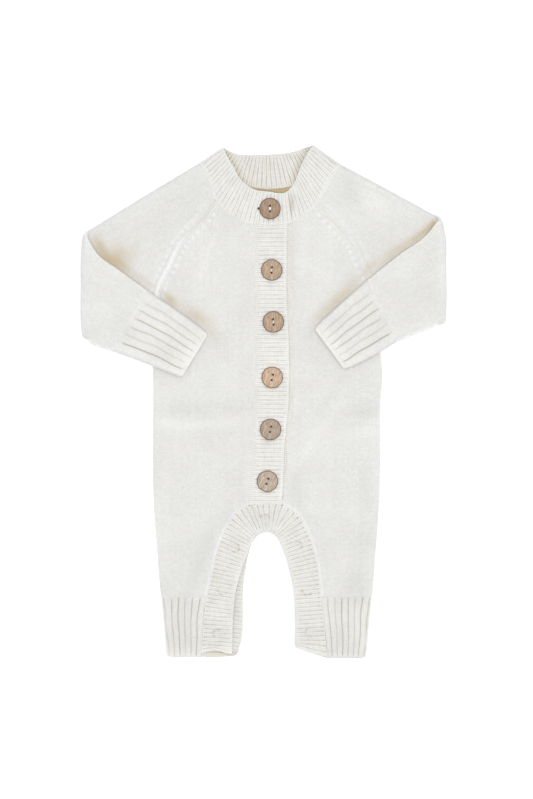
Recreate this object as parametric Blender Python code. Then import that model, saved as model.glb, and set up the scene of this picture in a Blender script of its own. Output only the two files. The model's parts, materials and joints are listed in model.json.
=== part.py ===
"""Knitted baby romper of about 0 to 3 months, laid flat on its back, with the front up.

X runs to the viewer's right, Y from the hems to the neck, Z up, and the origin is under the middle of
the garment. Every size below is in millimetres; new_object() turns them into metres. "Left" and
"right" in names are the wearer's, so a right piece lies at negative X.

The garment is two layers of knitted wall. The back layer lies on the table and the front layer lies on
it; a tube such as a sleeve turns from one into the other round its two sides. Each piece is a wall
between an outer and an inner grid of points, and pieces that are sewn together end SEAM apart.
"""

import math

import bmesh
import bpy
import numpy as np

MM = 0.001

# ---- driving sizes -------------------------------------------------------------------------------
WALL = 2.2  # knitted cloth
SEAM = 0.3  # clear gap between two pieces that are sewn together
FRONT = WALL + SEAM  # underside of the front layer
MIDDLE = WALL + SEAM / 2  # height halfway between the two layers
FOLD_OUT = MIDDLE  # outer radius where a layer turns round a side
FOLD_IN = SEAM / 2  # inner radius there
EDGE_STRIP = 1.5  # width over which a cut edge is rounded off
EDGE_DROP = 0.7  # how far the outer face comes down over that strip
ROW_STEP = 5.0  # least distance between two rows of a panel, along its outline

SHARP = 50  # degrees between two faces from which their edge is drawn sharp

AXIS = 2.6  # X of the body's middle line

RIB_BASE = 1.8  # ribbed cloth between the ribs
FINE_RIB = 0.7  # height of the fine ribs of the bands
WIDE_RIB = 1.0  # height of the wide ribs of the cuffs
NECK_PITCH = 3.9
PLACKET_PITCH = 4.1
INSEAM_PITCH = 3.9
CUFF_RIBS = 7  # across one face of a sleeve cuff
CUFF_GAP = 0.5  # from the sleeve to its cuff, along the tube's two sides
LEG_CUFF_RIBS = {"right": 6, "left": 7}  # across the front of each leg cuff
SIDE = {"right": -1, "left": 1}  # direction of X on the wearer's side
RAGLAN_POINTS = 10  # along each raglan seam
NECK_POINTS = 5  # along the neck on each layer of a sleeve
SEAM_POINTS = 52  # along the curved seams of the bands
UNDERARM = 79.0  # Y where the body's side starts under the sleeve

# Outer side of the body and leg: height Y and half width about AXIS.
BODY_SIDE = (
    (79.5, 107.0), (40.0, 106.4), (2.0, 106.2), (-45.0, 106.6), (-92.0, 105.8),
    (-129.0, 103.2), (-167.0, 100.4), (-182.0, 99.0), (-205.0, 96.6), (-225.0, 94.8), (-240.0, 93.6),
)
# Raglan seams, from the neck to the underarm: half width about AXIS and height Y.
FRONT_RAGLAN = (
    (48.4, 186.6), (56.0, 175.6), (64.4, 166.5), (80.8, 147.9), (92.1, 124.4),
    (97.0, 116.0), (101.5, 103.7), (106.4, 79.5),
)
BACK_RAGLAN = ((51.5, 213.7), (66.0, 186.0), (80.0, 155.0), (92.0, 125.0), (101.0, 100.0), (106.4, 79.5))

# The neck, as X, Y from the right shoulder to the left: seam and free edge of the band.
NECK_SEAM_FRONT = (
    (-59.9, 221.7), (-54.4, 216.2), (-51.0, 206.1), (-48.4, 195.5), (-44.4, 187.3), (-40.1, 182.2),
    (-32.6, 176.5), (-24.2, 170.8), (-15.7, 168.1), (-7.2, 166.9), (7.8, 166.2), (22.8, 167.6),
    (36.0, 173.3), (46.2, 181.2), (54.0, 192.4), (60.3, 203.3), (66.0, 213.0), (71.7, 221.2),
)
NECK_EDGE_FRONT = (
    (-36.8, 237.2), (-33.7, 230.3), (-28.0, 220.7), (-22.3, 210.1), (-17.5, 205.3), (-7.9, 199.6),
    (5.5, 197.5), (13.3, 196.2), (19.5, 196.6), (27.5, 204.4), (34.3, 220.7), (41.0, 234.2), (45.6, 240.0),
)
NECK_SEAM_BACK = (
    (-59.9, 221.7), (-48.6, 214.5), (-35.0, 208.5), (-24.0, 205.2), (-12.9, 202.9), (2.6, 201.0),
    (15.1, 202.0), (22.8, 204.0), (34.0, 208.0), (53.8, 214.5), (71.7, 221.2),
)
NECK_EDGE_BACK = (
    (-36.8, 237.2), (-30.0, 234.4), (-23.2, 232.7), (-13.6, 232.2), (-2.2, 232.4), (12.2, 233.1),
    (22.8, 234.1), (31.4, 236.3), (38.2, 238.4), (45.6, 240.0),
)

# The placket, from the neckband down: Y, seam of the upper band, free edge of the upper band.
PLACKET = (
    (166.4, -8.6, 22.4), (96.0, -8.6, 21.9), (54.0, -8.6, 23.8), (2.0, -9.2, 23.6), (-24.0, -9.7, 21.5),
    (-42.0, -10.5, 19.6), (-60.0, -11.5, 19.0), (-87.0, -13.8, 17.8), (-96.2, -14.6, 17.4),
)
UNDER_SHOWS = 3.3  # the lower band shows this far past the upper one
LAP_RISE = 2.6  # the upper band lies this much higher than the front
LAP_RAMP = 5.6  # and climbs to it over this width

# Inseam, as X, Y from the right hem over the crotch to the left hem.
INSEAM_SEAM_FRONT = (
    (-58.9, -239.0), (-57.6, -222.0), (-55.2, -193.4), (-51.4, -173.6), (-46.7, -152.9), (-43.0, -137.0),
    (-36.4, -121.0), (-28.4, -106.9), (-17.6, -98.2), (-8.2, -96.4), (2.2, -96.0), (12.5, -96.4),
    (21.9, -98.4),
    (32.7, -106.9), (40.7, -121.0), (46.3, -137.0), (50.1, -152.9), (52.9, -173.6),
    (54.8, -193.4), (58.0, -222.0), (59.5, -240.0),
)
INSEAM_EDGE_FRONT = (
    (-32.6, -239.0), (-31.6, -222.0), (-29.0, -198.0), (-26.8, -180.2), (-22.3, -162.3), (-16.0, -144.5),
    (-10.1, -130.4), (-4.4, -123.9), (2.2, -121.9), (8.7, -123.9), (14.9, -130.4), (18.6, -138.0),
    (23.6, -151.7), (29.0, -176.4), (30.4, -198.0), (30.6, -216.0), (30.2, -230.5),
)
INSEAM_SEAM_BACK = (
    (-50.0, -237.0), (-49.0, -222.0), (-46.6, -193.4), (-44.6, -173.6), (-42.6, -152.9), (-40.4, -137.0),
    (-35.6, -121.0), (-28.2, -106.9), (-17.6, -98.2), (-8.2, -96.4), (2.2, -96.0), (12.5, -96.4),
    (21.9, -98.4),
    (32.7, -106.9), (40.7, -121.0), (46.3, -137.0), (50.1, -152.9), (52.9, -173.6), (54.8, -193.4),
    (58.0, -222.0), (59.5, -239.0),
)
INSEAM_EDGE_BACK = (
    (-24.2, -233.5), (-22.0, -222.0), (-20.6, -205.0), (-20.2, -186.0), (-18.8, -169.0), (-16.8, -156.0),
    (-14.6, -144.0), (-9.6, -129.0), (-4.2, -122.2), (2.2, -120.2), (8.6, -122.2), (14.2, -129.0),
    (17.6, -137.0), (22.4, -151.7), (27.8, -176.4), (29.2, -198.0), (29.4, -216.0), (29.0, -229.0),
)
LEG_CUFF_TOP = -182.0
CROTCH = -96.0  # height of the inseam's seam in the middle
LEG_HEM = {"right": -239.0, "left": -240.0}
PLACKET_TOP = 166.2  # the upper band meets the neckband's upper end here
PLACKET_END = 7.0  # the upper band comes down to the front over this length at its lower end
NECK_UNDER_LOW = 165.8  # and the lower band meets the neckband's lower end here
UNDER_SHARE = 0.5  # where the neckband's lower end is, as a share of the way round the front
OVER_SHARE = 0.62  # where its upper end is
NECK_LOW = 200.7  # height of the back panel's neck edge in the middle

# A sleeve, from the elbow to the cuff's end. "top" and "low" are the two sides of the flattened tube.
# Columns: top X, top Y, low X, low Y, height of the tube's middle over the table. "elbow" gives Y and X
# of the outer side of the fold at the elbow, "elbow_slant" how much Y grows from the upper arm to the
# forearm at its top and low side, and "bow" how far the upper arm's top side bows out.
SLEEVE = {
    "right": {
        "elbow": ((160.2, -169.6), (150.0, -170.6), (110.0, -171.5), (72.0, -171.0), (60.4, -169.6)),
        "elbow_slant": (-5.8, -2.5),
        "forearm": ((-155.0, 139.5, -161.0, 54.4, 9.6), (-135.0, 125.0, -152.0, 51.4, 9.2)),
        "seam": (-108.8, 106.5, -141.7, 48.2, 8.8),
        "cuff": (-80.6, 87.0, -110.0, 36.4, 8.6),
        "end": (-52.4, 66.6, -78.2, 24.7, 8.4),
        "bow": 3.2,
    },
    "left": {
        "elbow": ((171.4, 167.6), (160.0, 169.6), (125.0, 171.2), (95.0, 171.5), (73.5, 170.6)),
        "elbow_slant": (-1.9, -1.0),
        "forearm": ((150.2, 159.2, 157.0, 70.0, 9.6), (126.0, 141.0, 142.0, 64.0, 9.2)),
        "seam": (96.2, 115.4, 125.3, 55.7, 8.8),
        "cuff": (72.2, 94.0, 101.0, 42.6, 8.6),
        "end": (47.5, 71.5, 77.4, 31.9, 8.4),
        "bow": 1.4,
    },
}
ELBOW_TURN = 3.7  # radius of the sleeve's middle where it folds back over itself
FOREARM_CROWN = 1.6  # how far the forearm's upper face stands up in the middle

# Soft rises of the front layer where it doesn't lie quite down, and the creases between them.
# Columns: X, Y, half length, half width, turn in degrees, height.
RISES = (
    (-62.0, -2.0, 44.0, 9.0, -3.0, 1.1), (-60.0, -26.0, 46.0, 9.0, 4.0, 1.3),
    (-55.0, -66.0, 42.0, 36.0, 0.0, 1.0),
    (82.0, -6.0, 30.0, 9.0, 6.0, 0.9), (84.0, -29.0, 32.0, 9.0, -5.0, 1.1),
    (60.0, -72.0, 42.0, 36.0, 0.0, 1.0),
    (-24.0, 118.0, 12.0, 34.0, 0.0, 0.8), (44.0, 128.0, 14.0, 26.0, 0.0, 0.8),
    (60.0, 146.0, 34.0, 5.0, -48.0, 0.9),
    (-66.0, -138.0, 24.0, 30.0, 0.0, 0.8), (74.0, -138.0, 22.0, 30.0, 0.0, 0.9),
    (-112.0, 165.0, 30.0, 18.0, 31.0, 1.2), (118.0, 170.0, 32.0, 18.0, -31.0, 1.2),
)

BUTTON_RADIUS = 10.0
BUTTON_THICK = 3.0
BUTTON_SITS = FRONT + LAP_RISE + RIB_BASE + FINE_RIB + SEAM  # underside, on the upper band's ribs
BUTTON_HOLE = 1.05  # radius
BUTTON_HOLES_APART = 5.1
# Columns: X, Y, turn of the line through the holes, in degrees.
BUTTONS = (
    (5.9, 181.5, 0.0), (7.5, 123.9, -7.0), (9.0, 75.3, 4.0),
    (8.0, 23.3, -14.0), (6.4, -25.4, -14.0), (3.5, -74.0, -22.0),
)
SNAP_RADIUS = 4.0
SNAP_THICK = 1.5
SNAP_LIFT = 2.0  # the front band stands this much higher over the snaps
# Columns: side of the crotch, distance down the inseam, from 0 at the crotch to 1 at the hem.
SNAPS = (
    ("middle", 0.0), ("right", 0.3), ("right", 0.59), ("right", 0.86),
    ("left", 0.3), ("left", 0.6), ("left", 0.87),
)

KNIT = (0.86, 0.85, 0.82)
RIBBED = (0.87, 0.86, 0.83)
WOOD = (0.48, 0.36, 0.26)
STEEL = (0.75, 0.75, 0.74)


# ---- lines ---------------------------------------------------------------------------------------
def spaced(line, count):
    """`count` points evenly spaced along a line of points."""
    at = distances(line)
    return np.stack([np.interp(np.linspace(0, at[-1], count), at, column) for column in line.T], axis=1)


def distances(line):
    """How far along the line each of its points is."""
    return np.concatenate([[0.0], np.cumsum(np.linalg.norm(np.diff(line, axis=0), axis=1))])


def curve(points, count):
    """`count` points evenly spaced along the smooth curve through the given ones: a cubic between each
    two, whose slope at a point is that of its neighbours."""
    points = np.array(points, float)
    at = distances(points)
    slopes = np.gradient(points, at, axis=0)
    fine = np.linspace(0, at[-1], 16 * len(points))
    i = np.clip(np.searchsorted(at, fine, side="right") - 1, 0, len(points) - 2)
    step = (at[i + 1] - at[i])[:, None]
    t = (fine - at[i])[:, None] / step
    line = (2 * t**3 - 3 * t**2 + 1) * points[i] + (3 * t**2 - 2 * t**3) * points[i + 1]
    line += step * ((t**3 - 2 * t**2 + t) * slopes[i] + (t**3 - t**2) * slopes[i + 1])
    return spaced(line, count)


def unit(vector):
    return vector / np.linalg.norm(vector, axis=-1, keepdims=True)


def aside(line, distance):
    """The line moved to its left, seen from above, by a distance."""
    along = unit(np.gradient(line, axis=0))
    return line + distance * np.stack([-along[:, 1], along[:, 0]], axis=1)


def x_at(line, height):
    """X of a line at each height Y; the line runs downwards."""
    return np.interp(-np.asarray(height), -line[:, 1], line[:, 0])


def about_axis(half, side):
    """Points from half widths about the body's axis, on one side."""
    return np.stack([AXIS + side * half[:, 0], half[:, 1]], axis=1)


def crossing(line, x):
    """The point of a line, which runs steadily to one side, at X = x."""
    line = line[np.argsort(line[:, 0])]
    return np.array([[x, np.interp(x, line[:, 0], line[:, 1])]])


def smoothstep(start, end, value):
    t = np.clip((value - start) / (end - start), 0, 1)
    return t * t * (3 - 2 * t)


# ---- heights -------------------------------------------------------------------------------------
def rise(plan):
    """How much higher than flat the front layer lies at points X, Y: a sum of soft bumps."""
    total = np.zeros(plan.shape[:-1])
    for x, y, length, width, turn, height in RISES:
        angle = math.radians(turn)
        dx, dy = plan[..., 0] - x, plan[..., 1] - y
        along = (dx * math.cos(angle) + dy * math.sin(angle)) / length
        across = (dy * math.cos(angle) - dx * math.sin(angle)) / width
        total += height * np.exp(-(along**2) - across**2)
    return total


def placket_line(column):
    """A column of the placket's table as a smooth line X, Y, from the neckband down."""
    table = np.array(PLACKET)
    return curve(np.stack([table[:, column], table[:, 0]], axis=1), 24)


def under_seam():
    """Seam of the lower band on the left front, which the upper band covers at its lower end."""
    line = placket_line(2)
    shows = UNDER_SHOWS * smoothstep(CROTCH, CROTCH + 26, line[:, 1])
    return np.stack([line[:, 0] + shows + SEAM, line[:, 1]], axis=1)


def lap(plan):
    """How much higher than the front the upper placket band and the neckband's upper end lie."""
    seam = x_at(placket_line(1), plan[..., 1])
    return LAP_RISE * smoothstep(0, LAP_RAMP, plan[..., 0] - seam)


def with_height(plan, height):
    return np.concatenate([plan, np.broadcast_to(height, plan.shape[:-1])[..., None]], axis=-1)


# ---- solids --------------------------------------------------------------------------------------
def new_object(name, vertices, faces, material):
    mesh = bpy.data.meshes.new(name)
    mesh.from_pydata((np.asarray(vertices) * MM).tolist(), [], faces)
    mesh.shade_smooth()
    mesh.set_sharp_from_angle(angle=math.radians(SHARP))
    mesh.materials.append(material)
    piece = bpy.data.objects.new(name, mesh)
    bpy.context.scene.collection.objects.link(piece)
    piece.parent = bpy.data.objects["romper"]
    return piece


def signed_volume(vertices, faces):
    corners = [vertices[[face[0], face[i], face[i + 1]]] for face in faces for i in range(1, len(face) - 1)]
    return np.linalg.det(np.array(corners)).sum()


def knitted_wall(name, grids, material):
    """One closed solid from pairs of grids of points, outer and inner. Grids that share outer points are
    joined there, and every edge that then still belongs to one cell only is closed by a rim."""
    outer, inner, cells, start = [], [], [], 0
    for outside, inside in grids:
        rows, columns = outside.shape[:2]
        index = start + np.arange(rows * columns).reshape(rows, columns)
        corners = (index[:-1, :-1], index[:-1, 1:], index[1:, 1:], index[1:, :-1])
        cells.append(np.stack(corners, axis=-1).reshape(-1, 4))
        outer.append(outside.reshape(-1, 3))
        inner.append(inside.reshape(-1, 3))
        start += rows * columns
    outer, inner, cells = np.concatenate(outer), np.concatenate(inner), np.concatenate(cells)
    _, first, same = np.unique(np.round(outer, 3), axis=0, return_index=True, return_inverse=True)
    outer, inner, cells = outer[first], inner[first], same.reshape(-1)[cells]

    cells = [list(dict.fromkeys(cell)) for cell in cells.tolist()]
    cells = [cell for cell in cells if len(cell) > 2]
    edges = {(cell[i - 1], cell[i]) for cell in cells for i in range(len(cell))}
    back = len(outer)
    faces = cells + [[back + i for i in reversed(cell)] for cell in cells]
    faces += [[b, a, back + a, back + b] for a, b in sorted(edges) if (b, a) not in edges]
    vertices = np.concatenate([outer, inner])
    if signed_volume(vertices, faces) < 0:
        faces = [list(reversed(face)) for face in faces]
    return new_object(name, vertices, faces, material)


def strip_fractions(start, end, count):
    """Fractions across each row from start to end: `count` even ones between two narrow edge strips."""
    width = np.linalg.norm(end - start, axis=-1)[:, None]
    strip = np.minimum(EDGE_STRIP / width, 0.2)
    even = strip + (1 - 2 * strip) * np.linspace(0, 1, count)
    return np.concatenate([np.zeros_like(strip), even, np.ones_like(strip)], axis=1)


def between(start, end, count):
    """A grid X, Y of rows that run from the line start to the line end."""
    fractions = strip_fractions(start, end, count)[..., None]
    return start[:, None] * (1 - fractions) + end[:, None] * fractions


def edge_drop(grid, sides=(1, 1, 1, 1)):
    """EDGE_DROP on the grid's first row, last row, first column and last column where sides says 1."""
    drop = np.zeros(grid.shape[:2])
    for here, place in zip(sides, (np.s_[0], np.s_[-1], np.s_[:, 0], np.s_[:, -1])):
        if here:
            drop[place] = EDGE_DROP
    return drop


def rows_between(top, bottom, lines, corners):
    """Heights from top to bottom at which a panel has rows: its corners and its outline's points,
    without the points that would lie closer than ROW_STEP to the row before on every line."""
    heights = np.concatenate([line[:, 1] for line in lines] + [np.array(corners)])
    heights = np.sort(heights[(heights < top - EDGE_STRIP) & (heights > bottom + EDGE_STRIP)])[::-1]
    kept = [top, top - EDGE_STRIP]
    for height in heights:
        moved = max(abs(x_at(line, height) - x_at(line, kept[-1])) for line in lines)
        below = kept[-1] - height
        if height in corners or (math.hypot(moved, below) > ROW_STEP and below > SEAM):
            kept.append(height)
    return np.array(kept + [bottom + EDGE_STRIP / 2, bottom])


# ---- seams that two pieces share -----------------------------------------------------------------
def raglan(table, side):
    """The raglan seam from the neck to the underarm."""
    return about_axis(curve(table, RAGLAN_POINTS), side)


def body_side(side, low, high):
    """The outer side of the body between two heights, downwards."""
    heights = np.linspace(high, low, max(3, round((high - low) / 22)))
    line = curve([(half, y) for y, half in BODY_SIDE], 60)
    return np.stack([AXIS + side * np.interp(-heights, -line[:, 1], line[:, 0]), heights], axis=1)


def neck_seam(table):
    """The neckband's seam from the right shoulder to the left."""
    return curve(table, SEAM_POINTS)


def neck_down(table, side):
    """The neck edge of what is sewn to the band, from one shoulder down to the middle."""
    line = neck_seam(table)
    line = line if side < 0 else line[::-1]
    return aside(line, side * SEAM)[: len(line) // 2 + 8]


def inseam(table):
    """The seam of an inseam band, from the right hem over the crotch to the left hem."""
    return curve(table, SEAM_POINTS)


def inseam_down(table, side):
    """The leg's edge along that seam, from the crotch down to the hem."""
    line = inseam(table)
    half = line[line[:, 0] < AXIS][::-1] if side < 0 else line[line[:, 0] >= AXIS]
    return aside(half, side * SEAM)


# ---- panels --------------------------------------------------------------------------------------
def downwards(*lines):
    """Lines joined into one that runs downwards."""
    joined = np.concatenate(lines)
    kept = [joined[0]]
    for point in joined[1:]:
        if point[1] < kept[-1][1] - 0.05:
            kept.append(point)
    return np.array(kept)


def half_panel(outer, inner, top, bottom, columns, corners=()):
    """Plan grid between two lines that run down."""
    heights = rows_between(top, bottom, (outer, inner), corners)
    start = np.stack([x_at(outer, heights), heights], axis=1)
    end = np.stack([x_at(inner, heights), heights], axis=1)
    return between(start, end, columns)


def front_panel(name, wearer, material):
    side = SIDE[wearer]
    raglan_edge = aside(raglan(FRONT_RAGLAN, side), -side * SEAM / 2)
    outer = downwards(raglan_edge, body_side(side, LEG_CUFF_TOP, UNDERARM))
    placket = placket_line(1) if side < 0 else under_seam()
    corner = raglan_edge[0]
    neck = neck_down(NECK_SEAM_FRONT, side)
    arch = inseam_down(INSEAM_SEAM_FRONT, side)
    placket = placket + (side * SEAM / 2, 0)
    top_corner, low_corner = crossing(neck, placket[0, 0]), crossing(arch, placket[-1, 0])
    neck = neck[(side * (neck[:, 0] - corner[0]) < 3) & (side * (neck[:, 0] - placket[0, 0]) > 0.5)]
    arch = arch[side * (arch[:, 0] - placket[-1, 0]) > 0.5]
    placket = placket[(placket[:, 1] < top_corner[0, 1] - 1) & (placket[:, 1] > low_corner[0, 1] + 1)]
    inner = downwards(neck, top_corner, placket, low_corner, arch)
    top = corner[1] - 1.6
    while side * (x_at(outer, top) - x_at(inner, top)) < EDGE_STRIP:
        top -= 0.2
    corners = (top_corner[0, 1], low_corner[0, 1])
    plan = half_panel(outer, inner, top, LEG_CUFF_TOP + SEAM / 2, 6, corners)
    low = FRONT + rise(plan)
    return knitted_wall(
        name, [(with_height(plan, low + WALL - edge_drop(plan)), with_height(plan, low))], material
    )


def back_panel(name, material):
    grids = []
    for side in (-1, 1):
        raglan_edge = aside(raglan(BACK_RAGLAN, side), -side * SEAM / 2)
        outer = downwards(raglan_edge, body_side(side, LEG_CUFF_TOP, UNDERARM))
        neck = neck_down(NECK_SEAM_BACK, side)
        neck = neck[(side * (neck[:, 0] - raglan_edge[0, 0]) < 3) & (neck[:, 1] > NECK_LOW + 0.2)]
        middle = np.array([(AXIS, NECK_LOW), (AXIS, CROTCH + 2 * SEAM)])
        arch = inseam_down(INSEAM_SEAM_BACK, side)
        arch = arch[side * (arch[:, 0] - AXIS) > EDGE_STRIP]
        inner = downwards(neck, middle, arch)
        top = raglan_edge[0, 1] - 2.0
        corners = (NECK_LOW, CROTCH + 2 * SEAM)
        plan = half_panel(outer, inner, top, LEG_CUFF_TOP + SEAM / 2, 5, corners)
        grids.append((side, plan))
    heights = np.unique(np.concatenate([plan[:, 0, 1] for _, plan in grids]))[::-1]
    walls = []
    for side, plan in grids:
        start = np.stack([np.interp(-heights, -plan[:, 0, 1], plan[:, 0, 0]), heights], axis=1)
        end = np.stack([np.interp(-heights, -plan[:, -1, 1], plan[:, -1, 0]), heights], axis=1)
        rows = between(start, end, 5)
        wall = np.stack([with_height(rows, edge_drop(rows, (0, 0, 1, 0))), with_height(rows, WALL)])
        walls.append(wall if side < 0 else wall[:, :, ::-1])
    return knitted_wall(name, walls, material)


# ---- tubes ---------------------------------------------------------------------------------------
def side_turn(centre, outward, middle, radius, count=3):
    """The points between the two layers where a tube turns round its side."""
    angles = np.linspace(math.pi / 2, -math.pi / 2, count + 2)[1:-1]
    plan = centre + radius * np.cos(angles)[:, None] * outward
    return np.concatenate([plan, (middle + radius * np.sin(angles))[:, None]], axis=1)


def tube_ring(upper, lower, top_out, low_out, middle, outer_radius, inner_radius, crown, under_crown=0.0):
    """One closed ring of a flattened tube. upper runs from the low side to the top side over the upper
    layer, lower runs back under it; top_out and low_out point out of the tube's sides."""
    rings = []
    for radius in (outer_radius, inner_radius):
        reach = radius if np.ndim(radius) else np.full(len(upper), radius)
        over = with_height(upper, middle + reach + crown)
        under = with_height(lower, middle - reach[::-1] - under_crown)
        side_radius = float(np.min(reach))
        top = side_turn(upper[-1], top_out, middle, side_radius)
        low = side_turn(upper[0], low_out, middle, side_radius)[::-1]
        rings.append(np.concatenate([over, top, under, low, over[:1]]))
    return rings


def straight_ring(row, count, outer_radius, inner_radius, crown, under_crown=0.0):
    """The ring of a tube whose two sides are the points (X, Y) in a row of the sleeve's table."""
    top, low, middle = np.array(row[0:2]), np.array(row[2:4]), row[4]
    outward = unit(top - low)
    reach = float(np.max(outer_radius))
    upper = np.linspace(low + outward * reach, top - outward * reach, count)
    return tube_ring(
        upper, upper[::-1], outward, -outward, middle, outer_radius, inner_radius, crown, under_crown
    )


def turned_over(rings, middle):
    """The same rings upside down about their middle height: the forearm's front layer lies below."""
    return [ring * (1, 1, -1) + (0, 0, 2 * middle) for ring in rings]


def bent_ring(wearer, count, angle):
    """The ring of the sleeve at one angle of its fold round the elbow, 0 on the upper arm and pi on the
    forearm. A point w over the sleeve's middle goes round at the radius ELBOW_TURN - w."""
    side = SIDE[wearer]
    line = np.array(SLEEVE[wearer]["elbow"])
    heights = np.linspace(line[-1, 0] + FOLD_OUT, line[0, 0] - FOLD_OUT, count)
    upper = np.stack([np.zeros(count), heights], axis=1)
    ends = np.array([0, 1.0]), np.array([0, -1.0])
    rings = tube_ring(upper, upper[::-1], *ends, 0.0, FOLD_OUT, FOLD_IN, 0.0)
    smooth = curve(line, 30)
    slant_top, slant_low = SLEEVE[wearer]["elbow_slant"]
    bent = []
    for ring in rings:
        reach = np.interp(-ring[:, 1], -smooth[:, 0], smooth[:, 1]) - side * (ELBOW_TURN + FOLD_OUT)
        x = reach + side * (ELBOW_TURN - ring[:, 2]) * math.sin(angle)
        z = MIDDLE + ELBOW_TURN - (ELBOW_TURN - ring[:, 2]) * math.cos(angle)
        slant = np.interp(ring[:, 1], (line[-1, 0], line[0, 0]), (slant_low, slant_top))
        y = ring[:, 1] + slant * (1 - math.cos(angle)) / 2
        bent.append(np.stack([x, y, z], axis=1))
    return bent


def head_ring(wearer):
    """The sleeve's first ring: up the front raglan and the neck to the shoulder, and down the back."""
    side = SIDE[wearer]
    elbow = SLEEVE[wearer]["elbow"][0]
    seams = []
    for raglan_table, neck_table in ((FRONT_RAGLAN, NECK_SEAM_FRONT), (BACK_RAGLAN, NECK_SEAM_BACK)):
        seam = aside(raglan(raglan_table, side), side * SEAM / 2)
        neck = neck_down(neck_table, side)
        seams.append((seam[::-1], neck[side * (neck[:, 0] - seam[0, 0]) > 0.5][::-1]))
    shoulder = (seams[0][1][-1] + seams[1][1][-1]) / 2
    top_out = unit(np.array([side * (shoulder[1] - elbow[0]), side * (elbow[1] - shoulder[0])]))
    low_out = np.array([0.0, -1.0])
    underarm = seams[0][0][0] + (side * 0.6, 0.6)
    layers = []
    for seam, neck in seams:
        neck = np.concatenate([seam[-1:], neck[:-1], [shoulder - FOLD_OUT * top_out]])
        neck = spaced(neck, NECK_POINTS + 1)[1:]
        layers.append(np.concatenate([[underarm - FOLD_OUT * low_out], seam[1:], neck]))
    crown = rise(layers[0])
    return tube_ring(layers[0], layers[1][::-1], top_out, low_out, MIDDLE, FOLD_OUT, FOLD_IN, crown)


def sleeve(name, wearer, material):
    count = RAGLAN_POINTS + NECK_POINTS
    head = head_ring(wearer)
    elbow = bent_ring(wearer, count, 0.0)
    rings = []
    sizes = SLEEVE[wearer]
    turn = (len(head[0]) - 1) // 2 - count
    to_top = np.concatenate(
        [np.linspace(0, 1, count), np.ones(turn), np.linspace(1, 0, count), np.zeros(turn + 1)]
    )
    bow_out = sizes["bow"] * unit(np.array([SIDE[wearer] * 0.5, 1.0]))
    for part in np.linspace(0, 1, 5)[:-1]:
        ring = [a * (1 - part) + b * part for a, b in zip(head, elbow)]
        flat = (1 - part) * rise(head[0][:count, :2])
        for points in ring:
            points[:, :2] += math.sin(math.pi * part) * to_top[:, None] * bow_out
            points[:count, 2] += rise(points[:count, :2]) - flat
            points[-1] = points[0]
        rings.append(ring)
    rings += [bent_ring(wearer, count, angle) for angle in np.linspace(0, math.pi, 5)]
    bulge = FOREARM_CROWN * np.sin(np.linspace(0, math.pi, count))
    for row in (*sizes["forearm"], sizes["seam"]):
        rings.append(turned_over(straight_ring(row, count, FOLD_OUT, FOLD_IN, 0.0, bulge), row[4]))
    return knitted_tube(name, rings, material)


def knitted_tube(name, rings, material):
    """One closed solid from rings of outer and inner points."""
    return knitted_wall(name, [tuple(np.array(rings).swapaxes(0, 1))], material)


def wide_ribs(count):
    """Heights across `count` wide ribs of three steps each: a narrow valley and a broad back."""
    return WIDE_RIB * np.append(np.tile([0.0, 1.0, 1.0], count), 0.0)


def sleeve_cuff(name, wearer, material):
    sizes = SLEEVE[wearer]
    ribs = wide_ribs(CUFF_RIBS)
    count = len(ribs)
    bulge = 0.6 * FOREARM_CROWN * np.sin(np.linspace(0, math.pi, count))
    seam, middle, end = (np.array(sizes[key]) for key in ("seam", "cuff", "end"))
    start = seam.copy()
    for two in (np.s_[0:2], np.s_[2:4]):
        start[two] += CUFF_GAP * unit(middle[two] - seam[two])
    second = start + (middle - start) * 0.05
    rings = []
    for row, share in ((start, 0.5), (second, 1.0), (middle, 1.0), (end, 1.0)):
        reach = FOLD_IN + RIB_BASE + ribs * share
        rings.append(straight_ring(row, count, reach, FOLD_IN, bulge))
    return knitted_tube(name, rings, material)


# ---- ribbed bands --------------------------------------------------------------------------------
def rib_count(line, pitch):
    return round(distances(line)[-1] / pitch)


def fine_ribs(ribs):
    """Heights at the 2 * ribs + 1 stations along a band: valley, back, valley and so on."""
    return FINE_RIB * (np.arange(2 * ribs + 1) % 2)


def band_rows(start, end, fractions):
    """A grid whose rows run across a band, from its seam to its free edge."""
    fractions = np.array(fractions)[:, None]
    return start[:, None] * (1 - fractions) + end[:, None] * fractions


def shoulder_turn(seam_point, edge_point, side, fractions, angles):
    """Rows of a band where it turns over the shoulder: outer and inner points at each angle."""
    along = unit(edge_point - seam_point)
    outward = side * np.array([along[1], -along[0]])
    line = seam_point + np.array(fractions)[:, None] * (edge_point - seam_point) - FOLD_OUT * outward
    rows = []
    for radius in (FOLD_OUT, FOLD_IN):
        turn = [
            np.concatenate(
                [
                    line + radius * math.cos(angle) * outward,
                    np.full((len(line), 1), MIDDLE + radius * math.sin(angle)),
                ],
                axis=1,
            )
            for angle in angles
        ]
        rows.append(np.array(turn))
    return rows


def neck_layer(seam_table, edge_table, low, high):
    """Seam and edge lines of one layer of the neckband between two shares of the way from the right
    shoulder to the left, drawn in at the shoulders by the radius of the turn."""
    seam, edge = neck_seam(seam_table), curve(edge_table, SEAM_POINTS)
    for end, side in ((0, -1), (-1, 1)):
        along = unit(edge[end] - seam[end])
        outward = side * np.array([along[1], -along[0]])
        seam[end] -= FOLD_OUT * outward
        edge[end] -= FOLD_OUT * outward
    lines = []
    for line in (seam, edge):
        at = distances(line)
        shares = np.linspace(low, high, 60) * at[-1]
        lines.append(np.stack([np.interp(shares, at, column) for column in line.T], axis=1))
    return lines


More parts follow.
